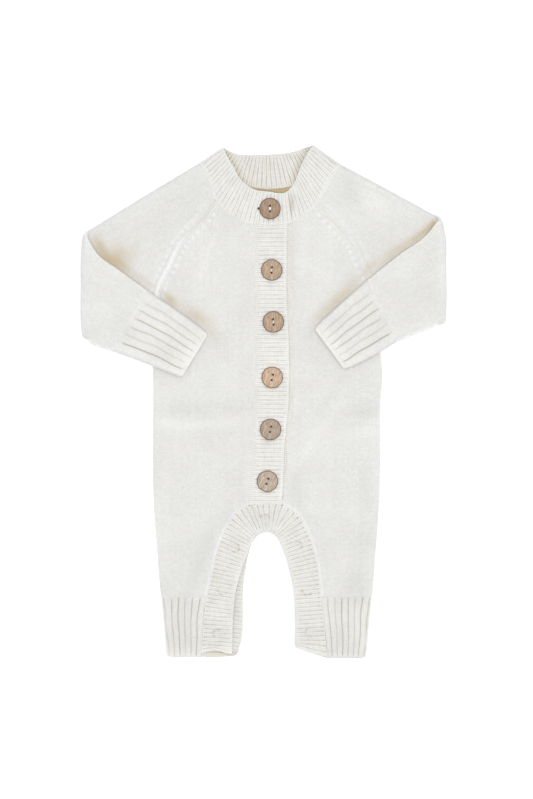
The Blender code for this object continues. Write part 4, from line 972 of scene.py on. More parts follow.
def tube_ring(
    upper, lower, top_out, low_out, middle, outer_radius, inner_radius, over_crown, under_crown=0.0
):
    """Outer and inner ring: over the upper points, round the top side, back under, round the low one."""
    rings = []
    for radius in (outer_radius, inner_radius):
        reach = np.broadcast_to(radius, len(upper))
        over = with_height(upper, middle + reach + over_crown)
        under = with_height(lower, middle - reach[::-1] - under_crown)
        top = side_turn(upper[-1], top_out, middle, reach.min())
        low = side_turn(upper[0], low_out, middle, reach.min())[::-1]
        rings.append(np.concatenate([over, top, under, low, over[:1]]))
    return rings


def straight_ring(row, count, outer_radius, inner_radius, over_crown, under_crown=0.0):
    """A ring straight across the tube, from a row of the sleeve's table."""
    top, low, middle = np.array(row[0:2]), np.array(row[2:4]), row[4]
    outward = unit(top - low)
    reach = float(np.min(outer_radius))
    upper = np.linspace(low + outward * reach, top - outward * reach, count)
    radii = outer_radius, inner_radius
    return tube_ring(upper, upper[::-1], outward, -outward, middle, *radii, over_crown, under_crown)


# %% The armhole and the elbow
def head_ring(wearer):
    """The armhole: up the front raglan, along the neck to the shoulder, and down the back."""
    side = SIDE[wearer]
    elbow = SLEEVE[wearer]["elbow"][0]
    seams = []
    for raglan_table, neck_table in ((FRONT_RAGLAN, NECK_SEAM_FRONT), (BACK_RAGLAN, NECK_SEAM_BACK)):
        seam = aside(raglan(raglan_table, side), side * JOIN)
        neck = neck_down(neck_table, side)
        seams.append((seam[::-1], neck[side * (neck[:, 0] - seam[0, 0]) > 0.5][::-1]))
    shoulder = (seams[0][1][-1] + seams[1][1][-1]) / 2
    far = 1.6 * FOLD_OUT
    top_out = unit(np.array([side * (shoulder[1] - elbow[0]), side * (elbow[1] - shoulder[0])]))
    low_out = np.array([0.0, -1.0])
    underarm = seams[0][0][0] + (side * 0.6, 0.6)
    layers = []
    for seam, neck in seams:
        neck = neck[np.linalg.norm(neck - shoulder, axis=1) > far]
        neck = np.concatenate([seam[-1:], neck, [shoulder - FOLD_OUT * top_out]])
        neck = spaced(neck, NECK_POINTS + 1)[1:]
        layers.append(np.concatenate([[underarm - FOLD_OUT * low_out], seam[1:], neck]))
    crown = rise(layers[0])
    return tube_ring(layers[0], layers[1][::-1], top_out, low_out, MIDDLE, FOLD_OUT, FOLD_IN, crown)


LOW_CORNER, TOP_CORNER = 7.0, 3.6  # radii of the elbow's two corners


def bent_ring(wearer, count, angle):
    """A point w above the sleeve's middle goes round at the radius ELBOW_TURN - w."""
    side, line = SIDE[wearer], np.array(SLEEVE[wearer]["elbow"])
    heights = np.linspace(line[-1, 0] + FOLD_OUT, line[0, 0] - FOLD_OUT, count)
    upper = np.stack([np.zeros(count), heights], axis=1)
    ends = np.array([0, 1.0]), np.array([0, -1.0])
    rings = tube_ring(upper, upper[::-1], *ends, 0.0, FOLD_OUT, FOLD_IN, 0.0)
    smooth = curve(line, 60)
    for end, radius in ((line[-1, 0], LOW_CORNER), (line[0, 0], TOP_CORNER)):
        corner = 0.6 * radius * quarter(np.abs(smooth[:, 0] - end), radius)
        smooth[:, 1] -= side * corner * (angle / math.pi)
    slant_top, slant_low = SLEEVE[wearer]["elbow_slant"]
    bent = []
    for ring in rings:
        reach = np.interp(-ring[:, 1], -smooth[:, 0], smooth[:, 1]) - side * (ELBOW_TURN + FOLD_OUT)
        x = reach + side * (ELBOW_TURN - ring[:, 2]) * math.sin(angle)
        z = MIDDLE + ELBOW_TURN - (ELBOW_TURN - ring[:, 2]) * math.cos(angle)
        slant = np.interp(ring[:, 1], (line[-1, 0], line[0, 0]), (slant_low, slant_top))
        at_top = smoothstep(line[0, 0] - 16, line[0, 0], ring[:, 1])
        x += side * SLEEVE[wearer]["pinch"] * at_top * smoothstep(0.5, 1.0, angle / math.pi)
        bent.append(np.stack([x, ring[:, 1] + slant * (1 - math.cos(angle)) / 2, z], axis=1))
    return bent


# %% Stitches round a sleeve
SLEEVE_TURN = math.radians(27)
ARM_ROWS, BEND_ROWS, FOREARM_ROWS = 38, 14, 40
FOREARM_SIDE_SHADE = (0.55, 0.5, 0.4, 0.25, 0.1)  # painted shade round the forearm's side that meets the front


def sleeve_stitches(outer, side, upper, bend):
    """Stitch counts in the sleeve's own plane, rolled out flat: wales run out and down by SLEEVE_TURN.

    The rolled-out X is X itself before the elbow, grows with the arc in the bend, and is mirrored after
    it. A folded side adds its climb in Z, so that the stitches aren't stretched there.
    """
    elbow = outer[upper][:60]
    reach = np.interp(outer[..., 1], elbow[:, 1], elbow[:, 0])
    angles = np.linspace(0, math.pi, bend)[:, None]
    flat = outer[..., 0].copy()
    flat[upper : upper + bend] = reach[upper : upper + bend] + side * ELBOW_TURN * angles
    flat[upper + bend :] = 2 * reach[upper + bend :] + side * ELBOW_TURN * math.pi - flat[upper + bend :]
    climb = np.abs(np.diff(outer[..., 2], axis=1))
    climb = np.where(climb > 0.25, climb, 0)
    climb = np.concatenate([np.zeros((len(outer), 1)), np.cumsum(climb, axis=1)], axis=1)
    c, s = math.cos(SLEEVE_TURN), math.sin(SLEEVE_TURN)
    out = side * flat
    across_axis, along_axis = out * s + outer[..., 1] * c, out * c - outer[..., 1] * s
    return np.stack([(across_axis + climb) / WALE, along_axis / COURSE], axis=-1)


# %% Sleeves
def sleeve(wearer):
    """A closed tube of rings: armhole to elbow, round the bend, and the forearm mirrored under it.

    The upper arm's ring is head (1 - t) + elbow t, with rise(X, Y) added to its upper side.
    """
    count = RAGLAN_POINTS + NECK_POINTS
    head, elbow = head_ring(wearer), bent_ring(wearer, count, 0.0)
    sizes = SLEEVE[wearer]
    turn = (len(head[0]) - 1) // 2 - count
    to_top = np.concatenate(
        [np.linspace(0, 1, count), np.ones(turn), np.linspace(1, 0, count), np.zeros(turn + 1)]
    )
    bow_out = sizes["bow"] * unit(np.array([SIDE[wearer] * 0.5, 1.0]))
    rings = []
    close = SEAM_STEPS / 95
    for part in np.concatenate([close[:-1], np.linspace(close[-1], 1, ARM_ROWS)[:-1]]):
        ring = [a * (1 - part) + b * part for a, b in zip(head, elbow)]
        flat = (1 - part) * rise(head[0][:count, :2])
        for points in ring:
            points[:, :2] += math.sin(math.pi * part) * to_top[:, None] * bow_out
            points[:count, 2] += (rise(points[:count, :2]) - flat) * (1 - smoothstep(0.85, 1.0, part))
            points[-1] = points[0]
        rings.append(ring)
    upper = len(rings)
    rings += [bent_ring(wearer, count, angle) for angle in np.linspace(0, math.pi, BEND_ROWS)]
    start = forearm_start(rings[-1], count)
    rows = curve([start, *sizes["forearm"], sizes["seam"]], FOREARM_ROWS)[1:]
    bulge = FOREARM_CROWN * np.sin(np.linspace(0, math.pi, count))
    for k, row in enumerate(rows):
        grown = smoothstep(0, 22, k + 1)
        soft = 0.35 * rise(np.linspace(row[2:4], row[0:2], count)[::-1] * 1.7) * smoothstep(38, 28, k)
        ring = straight_ring(row, count, FOLD_OUT, FOLD_IN, 0.0, bulge * grown + soft * grown)
        rings.append([points * (1, 1, -1) + (0, 0, 2 * row[4]) for points in ring])
    outer, inner = np.array(rings).swapaxes(0, 1)
    uv = sleeve_stitches(outer, SIDE[wearer], upper, BEND_ROWS)
    painted_shade = np.zeros(outer.shape[:2])
    over = np.s_[:upper, :count]
    seam_uv, holds = uv.copy(), np.zeros(painted_shade.shape, bool)
    relief, seam_painted_shade, seam_uv[over], holds[over] = raglan_knit(outer[over][..., :2], SIDE[wearer])
    outer[over][..., 2] += relief
    # Painted shade above the folded forearm, in the raglan's hollows, and round the forearm's side where
    # it meets the front.
    painted_shade[over] = np.minimum(shade(outer[over][..., :2]) + seam_painted_shade, MOST_PAINTED_SHADE)
    painted_shade[upper + BEND_ROWS :, count : count + turn] = FOREARM_SIDE_SHADE
    outer[:, -1], painted_shade[:, -1] = outer[:, 0], painted_shade[:, 0]
    grid = (outer, inner, uv, painted_shade, seam_uv, holds)
    return knit_wall(f"sleeve_{wearer}_cloth", [grid], PLAIN, [f"sleeve_{wearer}"])


def forearm_start(ring, count):
    """The last ring of the bend as a row of the sleeve's table."""
    outer = ring[0]
    top, low = outer[:count][-1, :2] + (0, FOLD_OUT), outer[0, :2] - (0, FOLD_OUT)
    return (*top, *low, MIDDLE + 2 * ELBOW_TURN)


sleeve_right, sleeve_left = sleeve("right"), sleeve("left")

# %% [markdown]
# ## Ribs
# Ribbing alternates columns that stand up with columns that sink back. Across one rib the height is
# 1 - exp(-(d / w)^2), with d the distance to the nearest hollow: a broad round back and a narrow hollow.
# The hollows fade out before each finished edge, where the knitting is plain again.


# %% Rib profile
PER_WIDE_RIB = 14  # points across one rib of a cuff
WIDE_HOLLOW, FINE_HOLLOW = 0.11, 0.22  # half width of a hollow, as a share of the rib


def rib_shape(phase, narrow):
    """Height from 0 in the hollow at a whole phase to 1 on the back at a half."""
    return 1 - bell(np.abs(phase - np.round(phase)), narrow)


def round_corners(points, rows, along, radius):
    """Draws the sides of a cuff's last rows back along the tube by radius (1 - sqrt(1 - t^2)).

    t is 1 at a side and 0 at a distance of radius from it, so that the hem's two corners are round.
    """
    top, low, back = rows[-1, :2], rows[-1, 2:4], unit(rows[0, :4] - rows[-1, :4])
    way = (top - low) / np.linalg.norm(top - low)
    place = (points[..., :2] - low) @ way
    to_side = np.minimum(place, np.linalg.norm(top - low) - place)
    pull = radius * quarter(to_side, radius) * smoothstep(along[-1] - 12, along[-1], along)[:, None]
    points[..., :2] += pull[..., None] * unit(back[:2] + back[2:])


# %% Cuffs
CUFF_CORNER = 4.5


def cuff(wearer):
    """A flattened tube whose outer radius follows the ribs, plain at its seam and with a hem at its end.

    Each hollow starts at its own distance from the seam, and sways a little on its way to the hem.
    """
    sizes = SLEEVE[wearer]
    count = CUFF_RIBS * PER_WIDE_RIB + 1
    phase = np.arange(count) / PER_WIDE_RIB
    seam, middle, end = (np.array(sizes[key]) for key in ("seam", "cuff", "end"))
    start = seam.copy()
    for two in (np.s_[0:2], np.s_[2:4]):
        start[two] += JOIN * unit(middle[two] - seam[two])
    rows = curve([start, middle, end], 44)
    along = distances(rows[:, :2])
    bulge = FOREARM_CROWN * np.sin(np.linspace(0, math.pi, count))
    rings, painted_shades = [], []
    valley = np.round(phase)
    starts = 1 + np.sin(2.4 * valley + SIDE[wearer])
    strong = 0.5 + 0.2 * np.sin(1.7 * valley + 1) + 0.3 * (valley < 2)
    within = smoothstep(0.1, 0.6, np.minimum(phase, CUFF_RIBS - phase))
    for row, s in zip(rows, along):
        to_hem = along[-1] - s
        sway = 0.07 * math.sin(s / 9 + 1) + 0.04 * np.sin(s / 5 + 2.1 * valley)
        ribs = rib_shape(phase + sway, WIDE_HOLLOW)
        sunk = smoothstep(0, 6, s - starts) * smoothstep(2.2, 6.5, to_hem) * within
        top = 1 - (1 - ribs) * (0.05 + 0.95 * sunk)
        hem = 0.3 * bell(to_hem - 2.6, 1.2) - edge_round(to_hem, 0.4 * EDGE_DROP)
        ribbed = FOLD_IN + RIB_BASE + WIDE_RIB * top + hem - 0.1
        reach = FOLD_OUT + (ribbed - FOLD_OUT) * smoothstep(0, 8, s)
        ring = straight_ring(row, count, reach, FOLD_IN, bulge * (1 - 0.4 * smoothstep(0, 25, s)))
        rings.append(ring)
        # Painted shade in each rib's hollow, in a line just before the hem, and round the cuff's top
        # side.
        face = strong * bell(phase + sway - valley, 0.065) * sunk
        face += 0.1 * bell(to_hem - 4.2, 0.8) * (1 + np.sin(1.9 * phase + 1)) * within
        turn = (len(ring[0]) - 1) // 2 - count
        side_painted_shade = 0.3 * np.array([0.1, 0.4, 0.7, 0.9, 1.0])
        painted_shades.append(np.concatenate([face, side_painted_shade, face[::-1], np.zeros(turn), face[:1]]))
    outer, inner = np.array(rings).swapaxes(0, 1)
    round_side = np.arange(1, 7) / 4
    ribs = np.concatenate(
        [phase, CUFF_RIBS + round_side[:-1], CUFF_RIBS + 1.5 + phase, 2 * CUFF_RIBS + 1.5 + round_side]
    )
    uv = rib_stitches(3 * ribs[None], along[:, None])
    for points in (outer, inner):
        round_corners(points, rows, along, CUFF_CORNER)
    grid = (outer, inner, uv, np.array(painted_shades))
    return knit_wall(f"cuff_{wearer}_rib", [grid], RIB, [f"cuff_{wearer}"])


cuff_right, cuff_left = cuff("right"), cuff("left")


# %% Leg cuffs
LEG_CORNER, LEG_ROWS, UNDER_LEG = 3.4, 34, 12  # corner radius, rows down, points under the leg


def leg_cuff(wearer):
    """A strip from the front band round the leg's outer side to the back band, ribbed on top."""
    side, ribs = SIDE[wearer], LEG_CUFF_RIBS[wearer]
    count = ribs * PER_WIDE_RIB + 1
    phase = np.arange(count) / PER_WIDE_RIB
    hem = LEG_HEM[wearer]
    rows = np.linspace(LEG_CUFF_TOP - 2, hem + EDGE_STRIP, LEG_ROWS)
    heights = np.concatenate([LEG_CUFF_TOP - JOIN - EDGE_STEPS[:-1], rows, hem + EDGE_STEPS[-2::-1]])
    table = np.array(BODY_SIDE)
    rounded = LEG_CORNER * quarter(heights - hem, LEG_CORNER)
    out = AXIS + side * (np.interp(-heights, -table[:, 0], table[:, 1]) - rounded)
    outward = np.array([side, 0.0])
    front_x = x_at(inseam_down(INSEAM_SEAM_FRONT, side), heights)
    back_x = x_at(inseam_down(INSEAM_SEAM_BACK, side), heights)
    outer, inner, painted_shades = [], [], []
    valley = np.round(phase)
    strong = 0.55 + 0.2 * np.sin(2.1 * valley + side)
    for y, x, x_front, x_back in zip(heights, out, front_x, back_x):
        centre = x - side * FOLD_OUT
        upper = np.stack([np.linspace(x_front, centre, count), np.full(count, y)], axis=1)
        lower = np.stack([np.linspace(centre, x_back, UNDER_LEG), np.full(UNDER_LEG, y)], axis=1)
        below_seam = LEG_CUFF_TOP - y
        sunk = smoothstep(0, 3 + 1.2 * np.sin(2.7 * valley), below_seam) * smoothstep(0.4, 3, y - hem)
        sway = 0.05 * math.sin(y / 8 + side) + 0.03 * np.sin(y / 5 + 1.7 * valley)
        top = 1 - (1 - rib_shape(phase + sway, WIDE_HOLLOW)) * (0.2 + 0.8 * sunk)
        down = edge_round(y - hem) + edge_round(below_seam, SEWN_DROP)
        ribbed = RIB_BASE + FOLD_IN + WIDE_RIB * top
        picked = 0.35 * bell(below_seam - 1.0, 0.7) * np.cos(4 * math.pi * phase)
        lifted = rise(upper)
        over = FOLD_OUT + (ribbed - FOLD_OUT) * smoothstep(-1, 4, below_seam) + lifted - down + picked
        for skin, high, radius, low in (
            (outer, MIDDLE + over, FOLD_OUT, 0.5 * down), (inner, FRONT + lifted, FOLD_IN, WALL),
        ):
            turn = side_turn(upper[-1], outward, MIDDLE, radius)
            skin.append(np.concatenate([with_height(upper, high), turn, with_height(lower, low)]))
        # Painted shade in each rib's hollow, and a little all over the ribbed face.
        face = strong * bell(phase + sway - valley, 0.07) * sunk + 0.02
        painted_shades.append(np.concatenate([face, np.zeros(len(turn) + len(lower))]))
    wales = 3 * ribs
    wales = [3 * phase, wales + np.arange(1, 6) / 2, wales + 3 + np.linspace(0, wales, UNDER_LEG)]
    uv = rib_stitches(np.concatenate(wales)[None], heights[:, None])
    grid = (np.array(outer), np.array(inner), uv, np.array(painted_shades))
    return knit_wall(f"leg_{wearer}_rib", [grid], RIB, [f"leg_cuff_{wearer}"])


leg_right, leg_left = leg_cuff("right"), leg_cuff("left")

# %% [markdown]
# ## Bands
# A band is a strip of fine rib: many short ribs side by side. It is a grid of stations along the band
# and places across it, from its seam to its free edge.


# %% Stations along a band
PER_RIB = 8  # points across one fine rib


def band_part(width, count):
    """Places across a band in millimetres from its seam, closer together near both edges."""
    even = np.linspace(EDGE_STRIP, width - EDGE_STRIP, count)
    return np.concatenate([EDGE_STEPS[:-1], even, width - EDGE_STEPS[-2::-1]])


FINE_LINE = 1600  # points that a line is searched at
SMOOTHED = 6  # stations on each side that share out a jump
HEM_REACH = 16  # millimetres from a hem over which the stations turn into even ones


def square_to(middle, line):
    """For each point of a band's middle line, the point of another line straight across from it.

    Straight across is where the way along the middle line's tangent is 0. Near both ends that turns into
    the same share of each line, because a hem is cut as it comes.
    """
    tangent = unit(np.gradient(middle, axis=0))
    line = spaced(line, FINE_LINE)
    offset = line[None] - middle[:, None]
    ahead = np.abs(np.einsum("ijk,ik->ij", offset, tangent)) + 0.08 * np.linalg.norm(offset, axis=-1)
    share = np.argmin(ahead, axis=1) / (FINE_LINE - 1)
    even = np.linspace(0, 1, len(middle))
    to_end = np.minimum(even, 1 - even) * distances(middle)[-1]
    share = even + (share - even) * smoothstep(0, HEM_REACH, to_end)
    window = 2 * SMOOTHED + 1
    padded = np.pad(share, SMOOTHED, mode="reflect", reflect_type="odd")
    share = np.maximum.accumulate(np.convolve(padded, np.ones(window) / window, "valid"))
    at = distances(line) / distances(line)[-1]
    return np.stack([np.interp(share, at, column) for column in line.T], axis=1)


def band_grid(seam, edge, stations, count):
    """Plan points of a band, and for each the distance from the seam and from the free edge."""
    middle = (spaced(seam, stations) + spaced(edge, stations)) / 2
    start, end = square_to(middle, seam), square_to(middle, edge)
    width = np.linalg.norm(end - start, axis=1)
    part = (band_part(width.mean(), count) / width.mean())[None, :, None]
    plan = start[:, None] * (1 - part) + end[:, None] * part
    return plan, part[..., 0] * width[:, None], (1 - part[..., 0]) * width[:, None]


# %% Hems and fine ribs
def shape_hem(plan, end, back, reach):
    """Draws one end of a band back along its edges by back millimetres, less and less over reach."""
    from_hem = np.linalg.norm(plan - plan[end], axis=-1)
    way = unit(plan[PER_RIB if end == 0 else end - PER_RIB] - plan[end])
    plan += way * (back[end] * np.clip(1 - from_hem / reach, 0, 1) ** 2)[..., None]


def round_corner(from_edge, radius):
    """How far a hem is drawn back near its free corner: radius times (1 - sqrt(1 - t^2))."""
    return radius * quarter(from_edge, radius)


def fine_rib(phase, from_seam, from_edge, seam_plain, edge_plain):
    """Height and painted shade of fine ribs, whose hollows fade out near the seam and near the free edge.

    Each hollow sways on its way across, and its length and depth differ a little from its neighbours',
    by sines of the hollow's number.
    """
    valley = np.round(phase)
    phase = phase + 0.08 * np.sin(from_seam / 3.4 + 1.9 * valley)
    phase = phase + 0.05 * np.sin(from_seam / 7.0 + 4.1 * valley)
    ragged = 1 + 0.35 * np.sin(12.9 * valley) * np.sin(7.7 * valley)
    starts, ends = seam_plain * ragged, edge_plain * ragged
    sunk = smoothstep(0.3 * starts, starts, from_seam) * smoothstep(0.3 * ends, ends, from_edge)
    height = 1 - (1 - rib_shape(phase, FINE_HOLLOW)) * sunk
    uneven = 0.72 + 0.28 * np.sin(5.3 * valley + 0.25 * from_seam)
    return height, bell(phase - valley, FINE_HOLLOW / 2) * sunk * uneven


def level_stations(seam, edge, heights):
    """Start and end of level rows between two lines that run down."""
    return (np.stack([x_at(line, heights), heights], axis=1) for line in (seam, edge))


# %% Placket
UPPER_COLUMNS, LOWER_COLUMNS, LOWER_RIBS = 22, 8, 64
OVERLAP = 0.6  # the upper band runs on past both ends by this much


def meeting(plan, reach=5.0):
    """The top rows of a band moved up to the neckband's seam, fading out over a few millimetres."""
    seam = curve(NECK_SEAM_FRONT, SEAM_POINTS)
    top = plan[0, 0, 1]
    up = np.interp(plan[..., 0], seam[:, 0], seam[:, 1]) + 0.25 - top
    return plan + np.stack([0 * up, up * smoothstep(top - reach, top, plan[..., 1])], axis=-1)


def placket_upper():
    """Ribs across a strip that climbs from its seam over the lower band: FRONT + lap + ribs."""
    top, bottom = PLACKET_TOP + OVERLAP, CROTCH - OVERLAP
    ribs = round((top - bottom) / PLACKET_PITCH)
    heights = np.linspace(top, bottom, ribs * PER_RIB + 1)
    start, end = level_stations(placket_line(1) + (JOIN, 0), placket_line(2), heights)
    plan = meeting(across(start, end, UPPER_COLUMNS))
    from_seam, from_edge = plan[..., 0] - start[:, :1], end[:, :1] - plan[..., 0]
    phase = (np.arange(len(heights)) / PER_RIB)[:, None]
    height, painted_shade = fine_rib(phase, from_seam, from_edge, 5.6, 5.4)
    roll = 0.35 * bell(from_seam - 2.0, 1.2) + 0.3 * bell(from_edge - 2.4, 1.3)
    down = smoothstep(bottom + 1.0, bottom + PLACKET_END, heights)[:, None]
    low = FRONT + lap(plan) * down
    drop = edge_round(from_seam, SEWN_DROP) + edge_round(from_edge)
    thick = RIB_TOP - RIB_DEPTH * (1 - height)
    high = low + WALL + (thick - WALL + roll) * smoothstep(-1, 4, from_seam) - drop
    # Painted shade in the rib hollows, and a little all over.
    grid = layer(plan, low, high, rib_stitches(phase + 0.5, plan[..., 0]), 0.24 * painted_shade + 0.02)
    return knit_wall("placket_buttonhole_band", [grid], RIB, ["placket_upper"])


def placket_lower():
    """The band under it, of which a narrow strip shows at the free edge of the upper one."""
    heights = np.linspace(NECK_UNDER_LOW, CROTCH + PLACKET_END + 1.5, LOWER_RIBS * PER_RIB + 1)
    start = np.stack([x_at(placket_line(1), heights) + LAP_RAMP + 0.8, heights], axis=1)
    end = np.stack([x_at(under_seam(), heights) - JOIN, heights], axis=1)
    plan = meeting(across(start, end, LOWER_COLUMNS))
    from_edge = end[:, :1] - plan[..., 0]
    phase = (np.arange(len(heights)) / PER_RIB)[:, None]
    height, painted_shade = fine_rib(phase, 9.0 + 0 * from_edge, from_edge, 1, 5.0)
    high = FRONT + WALL - 0.2 * (1 - height) - edge_round(from_edge, SEWN_DROP)
    # Painted shade: this band lies under the upper one, so it is darker all over, a little more in its
    # rib hollows.
    grid = layer(plan, FRONT, high, rib_stitches(phase + 0.5, plan[..., 0]), 0.14 + 0.06 * painted_shade)
    return knit_wall("placket_button_band", [grid], RIB, ["placket_lower"])


upper_band, lower_band = placket_upper(), placket_lower()


# %% Inseam bands
FRONT_COLUMNS, BACK_COLUMNS = 24, 12
SNAP_RING = 3.9  # radius of the ring that a snap presses into the band
# How far the right front hem is drawn up: share of the way across, millimetres.
HEM_ARCH = ((0, 1.2), (0.15, 2.4), (0.3, 3.6), (0.45, 4.0), (0.6, 3.0), (0.8, 0.9), (1, 0.0))


def snap_places():
    """X, Y of the snaps: shares of the middle line's half, down from the crotch."""
    seam, edge = curve(INSEAM_SEAM_FRONT, SEAM_POINTS), curve(INSEAM_EDGE_FRONT, SEAM_POINTS)
    middle = (spaced(seam, 121) + spaced(edge, 121)) / 2
    ways = {"middle": 0, **SIDE}
    return np.array([middle[round(60 + 60 * ways[where] * share)] for where, share in SNAPS])


def inseam_grid(seam_table, edge_table, columns):
    """Plan, distances from seam and free edge, and rib number of an inseam band."""
    seam, edge = curve(seam_table, SEAM_POINTS), curve(edge_table, SEAM_POINTS)
    ribs = round(distances((seam + edge) / 2)[-1] / INSEAM_PITCH)
    plan, from_seam, from_edge = band_grid(seam, edge, ribs * PER_RIB + 1, columns)
    return plan, from_seam, from_edge, (np.arange(len(plan)) / PER_RIB)[:, None]


def inseam_front():
    """Ribs across an arched strip, lifted by the snaps, and puckered round each one.

    A snap flattens the ribs over it. Round it the cloth dips in a ring, which is broken and ragged by
    sines of the angle round the snap, so that no two rings look alike.
    """
    plan, from_seam, from_edge, phase = inseam_grid(INSEAM_SEAM_FRONT, INSEAM_EDGE_FRONT, FRONT_COLUMNS)
    part = from_seam / (from_seam + from_edge)
    arch = np.interp(part, *zip(*HEM_ARCH))
    shape_hem(plan, 0, arch + round_corner(from_edge, 2.0), 15)
    shape_hem(plan, -1, round_corner(from_edge, 3.2), 12)
    height, painted_shade = fine_rib(phase, from_seam, from_edge, 2.2, 4.4)
    from_snaps = plan[:, :, None] - snap_places()
    to_snap = np.linalg.norm(from_snaps, axis=-1)
    which = to_snap.argmin(axis=-1)
    dx, dy = np.take_along_axis(from_snaps, which[..., None, None], axis=2)[:, :, 0].transpose(2, 0, 1)
    to_snap, angle = np.sqrt((dx / 1.18) ** 2 + dy**2), np.arctan2(dy, dx)
    broken = smoothstep(-0.5, 0.7, np.sin(angle + 1.9 * which) + 0.45 * np.sin(3 * angle + which))
    flat = 0.45 * np.exp(-((to_snap / 4.2) ** 4))
    pucker = -0.5 * broken * bell(to_snap - SNAP_RING, 0.75)
    height = height * (1 - flat) + 0.7 * flat
    lift = SNAP_LIFT * smoothstep(0, 0.36, part) * (1 - 0.2 * smoothstep(0.36, 1, part))
    low = FRONT + lift
    drop = edge_round(from_seam, SEWN_DROP) + edge_round(from_edge)
    high = low + RIB_TOP - RIB_DEPTH * (1 - height) + pucker - drop
    # Painted shade in the pits along the seam, in a broken ring round each snap and in small spots over
    # it, in the rib hollows, and a little all over.
    pits = 0.42 * bell(from_seam - 1.6, 0.7) * bell(phase - np.round(phase), 0.16)
    ragged = 0.65 + 0.35 * np.cos(5 * angle + 2 * which)
    spots = np.maximum(np.sin(1.7 * dx + which) * np.sin(1.9 * dy + 2.3 * which), 0)
    spots = spots * np.exp(-((to_snap / 3.2) ** 4))
    ring = 0.62 * broken * ragged * bell(to_snap - SNAP_RING, 0.6) + 0.2 * spots
    painted_shade = np.minimum(0.26 * painted_shade * (1 - flat) + pits + ring + 0.05, 1.0)
    grid = layer(plan, low, high - pits * 0.5, rib_stitches(phase + 0.5, from_seam), painted_shade)
    return knit_wall("inseam_front_rib", [grid], RIB, ["inseam_band_front"])


# %% Inseam band of the back
def inseam_back():
    """The same strip lying on the table, its ribs on the upper side."""
    plan, from_seam, from_edge, phase = inseam_grid(INSEAM_SEAM_BACK, INSEAM_EDGE_BACK, BACK_COLUMNS)
    for end in (0, -1):
        shape_hem(plan, end, round_corner(from_edge, 3.6), 12)
    height, painted_shade = fine_rib(phase, from_seam, from_edge, 1.5, 2.4)
    high = WALL - FINE_RIB * (1 - height) - edge_round(from_edge)
    # Painted shade: a little all over, in the rib hollows, and where the band shows under the arched hem
    # of the front band on the right leg.
    shaded = 0.25 * smoothstep(-231, -236, plan[..., 1]) * (plan[..., 0] < AXIS)
    grid = layer(plan, 0, high, rib_stitches(phase + 0.5, from_seam), 0.08 + 0.28 * painted_shade + shaded)
    return knit_wall("inseam_back_rib", [grid], RIB, ["inseam_band_back"])


front_band, back_band = inseam_front(), inseam_back()

# %% [markdown]
# ## Neckband
# The band is one strip that starts under the placket, goes over the left shoulder, round the back, over
# the right shoulder and laps over its own beginning. Every point is base + r n: the base line lies
# halfway between the two layers, and n points up on the front, down on the back and turns round at a
# shoulder.


# %% The path of the neckband
def neck_layer(seam_table, edge_table, low, high):
    """Seam and edge of one layer, drawn in at the shoulders by the radius of the turn."""
    seam, edge = curve(seam_table, SEAM_POINTS), curve(edge_table, SEAM_POINTS)
    for end, side in ((0, -1), (-1, 1)):
        along = unit(edge[end] - seam[end])
        outward = side * np.array([along[1], -along[0]])
        seam[end] -= FOLD_OUT * outward
        edge[end] -= FOLD_OUT * outward
    shares = np.linspace(low, high, 400)
    lines = []
    for line in (seam, edge):
        at = distances(line) / distances(line)[-1]
        lines.append(np.stack([np.interp(shares, at, column) for column in line.T], axis=1))
    return lines


def shoulder_lines(side):
    """The band's seam and edge at a shoulder, drawn in likewise, and the direction out of it."""
    end = -1 if side > 0 else 0
    seam, edge = np.array(NECK_SEAM_FRONT[end]), np.array(NECK_EDGE_FRONT[end])
    along = unit(edge - seam)
    outward = side * np.array([along[1], -along[0]])
    return seam - FOLD_OUT * outward, edge - FOLD_OUT * outward, outward


# %% Neckband
NECK_WIDTH, NECK_COLUMNS, SHOULDER_STATIONS = 28.0, 18, 14
BESIDE_LAP = (25.6, 184.0, 9.0, 2.6, 80.0, 0.4)  # shade on the lower end, beside the upper one


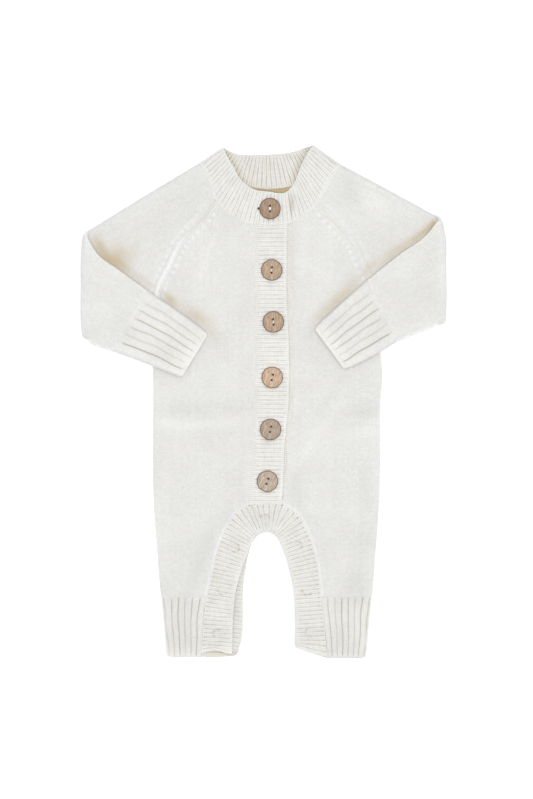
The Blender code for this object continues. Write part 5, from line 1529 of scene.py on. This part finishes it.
def neckband():
    """Stations round the neck: a layer is at angle +-pi/2, and a shoulder turns between the two."""
    seams, edges, angles, outs, laps, length = [], [], [], [], [], []

    def add(seam, edge, angle, outward, lapped, long):
        """Adds stations that share out a length of band."""
        seams.append(seam)
        edges.append(edge)
        angles.append(np.broadcast_to(angle, len(seam)))
        outs.append(np.broadcast_to(outward, (len(seam), 2)))
        laps.append(np.full(len(seam), float(lapped)))
        length.append(np.full(len(seam), long / len(seam)))

    def add_layer(seam, edge, angle, lapped):
        """Adds a layer, with PER_RIB stations to each rib."""
        long = distances((seam + edge) / 2)[-1]
        count = round(long / NECK_PITCH) * PER_RIB
        add(spaced(seam, count), spaced(edge, count), angle, (0.0, 0.0), lapped, long)

    def add_shoulder(side, first, last):
        """Adds a turn from the first angle to the last."""
        seam, edge, outward = shoulder_lines(side)
        turn = np.linspace(first, last, SHOULDER_STATIONS + 2)[1:-1]
        seam, edge = (np.tile(point, (SHOULDER_STATIONS, 1)) for point in (seam, edge))
        add(seam, edge, turn, outward, False, math.pi * FOLD_OUT)

    up, down = math.pi / 2, -math.pi / 2
    add_layer(*neck_layer(NECK_SEAM_FRONT, NECK_EDGE_FRONT, UNDER_SHARE, 1.0), up, False)
    add_shoulder(1, up, down)
    back_lines = neck_layer(NECK_SEAM_BACK, NECK_EDGE_BACK, 0.0, 1.0)
    add_layer(*(line[::-1] for line in back_lines), down, False)
    add_shoulder(-1, down, up)
    add_layer(*neck_layer(NECK_SEAM_FRONT, NECK_EDGE_FRONT, 0.0, OVER_SHARE), up, True)
    seam, edge, angle, out, lapped, length = (
        np.concatenate(values) for values in (seams, edges, angles, outs, laps, length)
    )
    phase = (np.cumsum(length) / NECK_PITCH)[:, None]
    width = np.linalg.norm(edge - seam, axis=1)[:, None]
    part = band_part(NECK_WIDTH, NECK_COLUMNS) / NECK_WIDTH
    plan = seam[:, None] * (1 - part[:, None]) + edge[:, None] * part[:, None]
    from_seam, from_edge = part * width, (1 - part) * width
    linked = 4.4 + 2.2 * smoothstep(24, 50, plan[..., 0]) * (np.sin(angle) > 0)[:, None]
    height, painted_shade = fine_rib(phase, from_seam, from_edge, linked, 2.4)
    up_side = (1 + np.sin(angle))[:, None] / 2
    roll = 0.45 * bell(from_seam - 0.45 * linked, 1.3)
    drop = edge_round(from_seam, SEWN_DROP) + edge_round(from_edge)
    outer_r = FOLD_IN + WALL + (RIB_TOP - WALL - RIB_DEPTH * (1 - height) + roll - drop) * up_side
    inner_r = FOLD_IN + FINE_RIB * (1 - height) * (1 - up_side) + edge_round(from_edge) * (1 - up_side)
    normal = np.concatenate([np.cos(angle)[:, None] * out, np.sin(angle)[:, None]], axis=1)[:, None]
    base = with_height(plan, MIDDLE + lap(plan) * lapped[:, None])
    # Painted shade beside the lap, in the rib hollows and more so on the back layer, on the back layer's
    # inside near the front's free edge, and on the band's last station at the lap's edge.
    beside_lap = bells(plan, (BESIDE_LAP,)) * (1 - lapped[:, None])
    under_front = np.abs(beside(plan, curve(NECK_EDGE_FRONT, SEAM_POINTS))[1])
    inside = (0.1 + 0.3 * bell(under_front, 4.5)) * (1 - up_side)
    painted_shade = np.minimum((0.5 - 0.24 * up_side) * painted_shade + inside + beside_lap, MOST_PAINTED_SHADE)
    painted_shade[-1] += 0.3
    uv = rib_stitches(phase + 0.5, from_seam)
    grid = (base + outer_r[..., None] * normal, base + inner_r[..., None] * normal, uv, painted_shade)
    return knit_wall("neckband_rib", [grid], RIB, ["neckband"])


neck_band = neckband()

# %% [markdown]
# ## Buttons
# A turned button is a profile carried round an axis: thin at the middle, with a raised rim. Two holes
# are drilled through with a Boolean, which leaves a crisp edge that a bump could not. Coconut wood is
# brown with short fine grain, lighter where the lathe has cut its face and darker on its rim.


# %% Turned wood
RIM_WIDTH = 1.3
GRAIN_DARK, GRAIN_LIGHT, RIM_BROWN = (0.24, 0.165, 0.105), (0.52, 0.40, 0.295), (0.15, 0.09, 0.055)


def turned_wood():
    """Grain from a stretched noise in the button's own plan, and a darker rim from its radius."""
    material, nodes, links = new_material("turned wood")

    def m(operation, *values):
        """maths() in this material."""
        return maths(nodes, links, operation, *values)

    uv = nodes.new("ShaderNodeUVMap")
    uv.uv_map = "plan"
    stretch = give(nodes.new("ShaderNodeMapping"), Scale=(1.0, 0.22, 1.0), Rotation=(0, 0, 0.7))
    links.new(uv.outputs["UV"], stretch.inputs["Vector"])
    noise = give(nodes.new("ShaderNodeTexNoise"), Scale=0.7, Detail=6, Roughness=0.65)
    links.new(stretch.outputs["Vector"], noise.inputs["Vector"])
    grain = noise.outputs["Fac"]
    ramp = nodes.new("ShaderNodeValToRGB")
    for stop, at, colour in zip(ramp.color_ramp.elements, (0.34, 0.64), (GRAIN_DARK, GRAIN_LIGHT)):
        stop.position, stop.color = at, (*colour, 1)
    links.new(grain, ramp.inputs["Fac"])
    length = nodes.new("ShaderNodeVectorMath")
    length.operation = "LENGTH"
    links.new(uv.outputs["UV"], length.inputs[0])
    radius = length.outputs["Value"]
    into_rim = m("MAXIMUM", 0.0, m("SUBTRACT", radius, BUTTON_RADIUS - RIM_WIDTH))
    rim = m("SMOOTH_MIN", 1.0, into_rim, 0.1)
    # The wood's colour times each button's own lightness and redness, which the point value holds.
    shade = nodes.new("ShaderNodeMix")
    shade.data_type, shade.blend_type = "RGBA", "MULTIPLY"
    give(shade, Factor=1.0)
    links.new(blended(nodes, links, rim, ramp.outputs["Color"], RIM_BROWN), shade.inputs["A"])
    links.new(given_at_points(nodes, "tone_and_painted_light").outputs["Color"], shade.inputs["B"])
    grooves = m("MULTIPLY", 0.5, m("SINE", m("MULTIPLY", radius, 9.0)))
    shader = nodes["Principled BSDF"]
    links.new(shade.outputs["Result"], shader.inputs["Base Color"])
    links.new(bumped(nodes, links, m("ADD", grooves, grain), 0.12, 0.5), shader.inputs["Normal"])
    give(shader, Roughness=0.5, Specular_IOR_Level=0.35)
    return material


WOOD = turned_wood()


# %% Lathe
BUTTON_SIDES, HOLE_SIDES = 72, 20


def turned_mesh(name, profile, sides):
    """A profile of radius and height carried round Z; a radius of 0 is a pole."""
    angles = np.arange(sides) * 2 * math.pi / sides
    rings = np.array(profile[1:-1])
    ring = np.stack([np.cos(angles), np.sin(angles)], axis=1)
    points = with_height(rings[:, None, :1] * ring, rings[:, 1:])
    points = np.concatenate([points.reshape(-1, 3), [(0, 0, profile[0][1]), (0, 0, profile[-1][1])]])
    k = np.arange(sides)
    following = (k + 1) % sides
    low, high, last = len(points) - 2, len(points) - 1, (len(rings) - 1) * sides
    blocks = [
        np.stack([row + k, row + following, row + sides + following, row + sides + k], axis=1)
        for row in range(0, last, sides)
    ]
    blocks.append(np.stack([following, k, np.full(sides, low)], axis=1))
    blocks.append(np.stack([last + k, last + following, np.full(sides, high)], axis=1))
    faces = [face for block in blocks for face in block.tolist()]
    mesh = bpy.data.meshes.new(name)
    mesh.from_pydata((points * MM).tolist(), [], faces)
    return mesh


def drilled(mesh, places, radius, depth):
    """The mesh with a round hole through it at each place, cut by an exact Boolean."""
    scene = bpy.context.scene.collection.objects
    blank = bpy.data.objects.new("blank", mesh)
    scene.link(blank)
    rod = (0, -depth), (radius, -depth), (radius, depth), (0, depth)
    bits = []
    for x, y in places:
        bit = bpy.data.objects.new("bit", turned_mesh("bit", rod, HOLE_SIDES))
        bit.location = (x * MM, y * MM, 0)
        scene.link(bit)
        cut = blank.modifiers.new("hole", "BOOLEAN")
        cut.operation, cut.solver, cut.object = "DIFFERENCE", "EXACT", bit
        bits.append(bit)
    bpy.context.view_layer.update()
    made = bpy.data.meshes.new_from_object(blank.evaluated_get(bpy.context.evaluated_depsgraph_get()))
    for helper in (blank, *bits):
        bpy.data.objects.remove(helper)
    return made


# %% Turned buttons
def button(number, x, y, turn, light, red):
    """A turned and drilled disc; its grain is mapped before it is turned to its place."""
    r, t = BUTTON_RADIUS, BUTTON_THICK
    profile = (
        (0, 0), (r - 2.2, 0), (r - 1.2, 0.1), (r - 0.4, 0.5), (r - 0.05, 1.1), (r, 1.6),
        (r - 0.12, 2.3), (r - 0.4, 2.75), (r - 0.9, 2.97), (r - 1.4, t), (r - 1.9, 2.9),
        (r - 2.4, 2.62), (r - 3.0, 2.42), (r - 4.5, 2.28), (r - 7.0, 2.2), (0, 2.16),
    )
    apart = BUTTON_HOLES_APART / 2
    blank = turned_mesh("button", profile, BUTTON_SIDES)
    mesh = drilled(blank, ((0, apart), (0, -apart)), BUTTON_HOLE, 3 * t)
    mesh.name = f"button_{number}"
    points = np.zeros(len(mesh.vertices) * 3, np.float32)
    mesh.vertices.foreach_get("co", points)
    points = points.reshape(-1, 3)
    corner = np.zeros(len(mesh.loops), np.int32)
    mesh.loops.foreach_get("vertex_index", corner)
    plan = mesh.uv_layers.new(name="plan")
    plan.data.foreach_set("uv", (points[corner, :2] / MM).astype(np.float32).ravel())
    # Here the point value is each button's own wood colour.
    tone_and_painted_light = mesh.attributes.new("tone_and_painted_light", "FLOAT_COLOR", "POINT")
    each = np.array([light * red, light, light / red, 1.0], np.float32)
    tone_and_painted_light.data.foreach_set("color", np.tile(each, len(points)))
    c, s = math.cos(math.radians(turn)), math.sin(math.radians(turn))
    points[:, :2] = points[:, :2] @ np.array([[c, s], [-s, c]], np.float32)
    points += np.array([x, y, BUTTON_SITS], np.float32) * MM
    mesh.vertices.foreach_set("co", points.ravel())
    mesh.shade_smooth()
    mesh.set_sharp_from_angle(angle=math.radians(40))
    mesh.materials.clear()
    return add_piece(f"turned_button_{number}", mesh, WOOD, [f"button_{number}"])


for number, row in enumerate(BUTTONS, 1):
    button(number, *row)

# %% [markdown]
# ## Thread
# A strand of thread is a spindle: a short round bar with pointed ends. One spindle is made once and set
# many times, each along its own direction, as arrays.


# %% Spindles
def spindles(name, centres, directions, length, thick, material, slot, around=8):
    """Spindles of given centres and directions; the radius is thick times sin(way along)^0.6."""
    way = np.linspace(0, math.pi, 7)[1:-1]
    along, reach = -np.cos(way), np.sin(way) ** 0.6
    angles = np.arange(around) * 2 * math.pi / around
    forward = unit(np.asarray(directions, float))
    sideways = unit(np.cross(np.broadcast_to([0.0, 0.0, 1.0], forward.shape) + 1e-6, forward))
    upward = np.cross(forward, sideways)
    half = length / 2
    ring = np.cos(angles)[:, None] * sideways[:, None] + np.sin(angles)[:, None] * upward[:, None]
    body = forward[:, None, None] * along[:, None, None] * half
    body = body + ring[:, None] * (reach * thick)[:, None, None]
    tips = np.stack([-forward * half, forward * half], axis=1)
    points = np.concatenate([body.reshape(len(forward), -1, 3), tips], axis=1)
    points = points + np.asarray(centres)[:, None]
    k = np.arange(around)
    n = (k + 1) % around
    rows = np.arange(len(way) - 1)[:, None] * around
    quads = np.stack([rows + k, rows + n, rows + around + n, rows + around + k], axis=-1).reshape(-1, 4)
    last, total = (len(way) - 1) * around, len(way) * around
    caps = np.concatenate([
        np.stack([n, k, np.full(around, total)], axis=1),
        np.stack([last + k, last + n, np.full(around, total + 1)], axis=1),
    ])
    shift = (np.arange(len(forward)) * (total + 2))[:, None, None]
    faces = (quads + shift).reshape(-1, 4).tolist() + (caps + shift).reshape(-1, 3).tolist()
    mesh = bpy.data.meshes.new(name)
    mesh.from_pydata((points.reshape(-1, 3) * MM).tolist(), [], faces)
    mesh.shade_smooth()
    return add_piece(name, mesh, material)


def spun_cotton(name, dark, light):
    """Thread whose fibres run from a dark to a light colour."""
    material, nodes, links = new_material(name)
    fibre = object_noise(nodes, links, 2600)
    shader = nodes["Principled BSDF"]
    links.new(blended(nodes, links, fibre, dark, light), shader.inputs["Base Color"])
    links.new(bumped(nodes, links, fibre, 0.08), shader.inputs["Normal"])
    give(shader, Roughness=0.85, Specular_IOR_Level=0.25, Sheen_Weight=0.15)
    return material


WHITE_THREAD = spun_cotton("white cotton thread", (0.78, 0.77, 0.74), (0.9, 0.895, 0.875))
# Near-black thread is painted shade in the button holes and at a buttonhole's end.
HOLE_SHADE_THREAD = spun_cotton("near-black thread as painted shade", (0.045, 0.03, 0.02), (0.09, 0.06, 0.04))


# %% Thread through the buttons
WHITE_STRANDS = {1: (-1, 0, 1), 2: (0,), 3: (0,)}  # places side by side of each button's white strands
STRAND_APART, STRAND_UP = 0.42, 2.4


def button_threads():
    """The white strands on the upper buttons, and near-black strands that fill every hole as painted
    shade.
    """
    white, brown = ([], []), ([], [])
    up = np.array([0.0, 0.0, 1.0])
    for number, (x, y, turn, _, _) in enumerate(BUTTONS, 1):
        a = math.radians(turn + 90)
        along = np.array([math.cos(a), math.sin(a), 0])
        sideways = np.array([-math.sin(a), math.cos(a), 0])
        middle = np.array([x, y, BUTTON_SITS])
        for k in WHITE_STRANDS.get(number, ()):
            white[0].append(middle + STRAND_UP * up + 0.12 * (k == 0) * up + sideways * STRAND_APART * k)
            white[1].append(along + sideways * 0.1 * k)
        for end in (-1, 1):
            for k in range(3):
                lean = STRAND_APART * (math.cos(2.1 * k) * along + math.sin(2.1 * k) * sideways)
                brown[0].append(middle + 1.15 * up + along * end * BUTTON_HOLES_APART / 2 + lean)
                brown[1].append(up + 0.05 * along * end)
    spindles("button_threads", *white, 3.0, 0.36, WHITE_THREAD, "knit")
    spindles("painted_shade_in_button_holes", *brown, 2.0, 0.5, HOLE_SHADE_THREAD, "knit")


button_threads()
# Beside the top button, a near-black spindle is painted shade in the end of a buttonhole.
HOLE_END, HOLE_WAY = (-4.9, 181.7, FRONT + RIB_TOP + 1.7), (0.2, 1.0, 0.05)
spindles("buttonhole_end_painted_shade", [HOLE_END], [HOLE_WAY], 2.6, 1.0, HOLE_SHADE_THREAD, "knit")


# %% [markdown]
# ## Snaps
# The press snaps sit between the two inseam bands, so only their pucker shows. Their solids are right
# as they are and get a brushed steel.

# %% Snap steel
snap_steel, nodes, links = new_material("snap steel")
shader = give(nodes["Principled BSDF"], Metallic=1.0, Roughness=0.32)
brushed = blended(nodes, links, object_noise(nodes, links, 900), (0.55, 0.55, 0.54), (0.75, 0.75, 0.74))
links.new(brushed, shader.inputs["Base Color"])
for number in range(1, len(SNAPS) + 1):
    solid = frame["nodes"][f"snap_{number}"]
    solid.data.materials.clear()
    solid.data.materials.append(snap_steel)

# %% [markdown]
# ## What the cloth was cut to
# Each piece of cloth has the area it was knitted to, before it was laid down, printed beside the area
# of one of its skins with its edges.


# %% Sheets
def cut(piece, width, length, area, held, *under):
    """Prints a cloth piece's cut area beside the area of one skin with its edges.

    The width, length, hold and what it lies on are not used.
    """
    skin = sum(face.area for face in piece.data.polygons) / 2
    print(f"{piece.name}: cut {area} m2, one skin with its edges {skin:.4f} m2")


cut(back, 0.214, 0.394, 0.0690, "laid", table)
cut(front_right, 0.096, 0.371, 0.0288, "laid", back)
cut(front_left, 0.093, 0.370, 0.0262, "laid", back)
cut(sleeve_right, 0.24, 0.24, 0.0300, "folded", table, front_right)
cut(sleeve_left, 0.24, 0.24, 0.0312, "folded", table, front_left)
cut(cuff_right, 0.124, 0.064, 0.0074, "laid", front_right)
cut(cuff_left, 0.116, 0.062, 0.0066, "laid", front_left)
cut(leg_right, 0.088, 0.058, 0.0047, "folded", table, back_band)
cut(leg_left, 0.086, 0.058, 0.0048, "folded", table, back_band)
cut(lower_band, 0.027, 0.262, 0.0068, "laid", back)
cut(upper_band, 0.032, 0.264, 0.0083, "laid", lower_band)
cut(back_band, 0.029, 0.325, 0.0080, "laid", table)
cut(front_band, 0.027, 0.325, 0.0083, "laid", back_band)
cut(neck_band, 0.029, 0.345, 0.0094, "folded", table)

# %% [markdown]
# ## Finish
# The box round the solids was measured before any cloth was made, and the box round the cloth is
# measured last. Knitting stands a little proud of a plain solid, so the two differ by about a millimetre.

# %% Sizes and the table of pieces
visual_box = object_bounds()
sizes = (box[1] - box[0] for box in (cad_box, visual_box))
print("grown by, mm:", [round((after - before) / MM, 1) for before, after in zip(*sizes)])
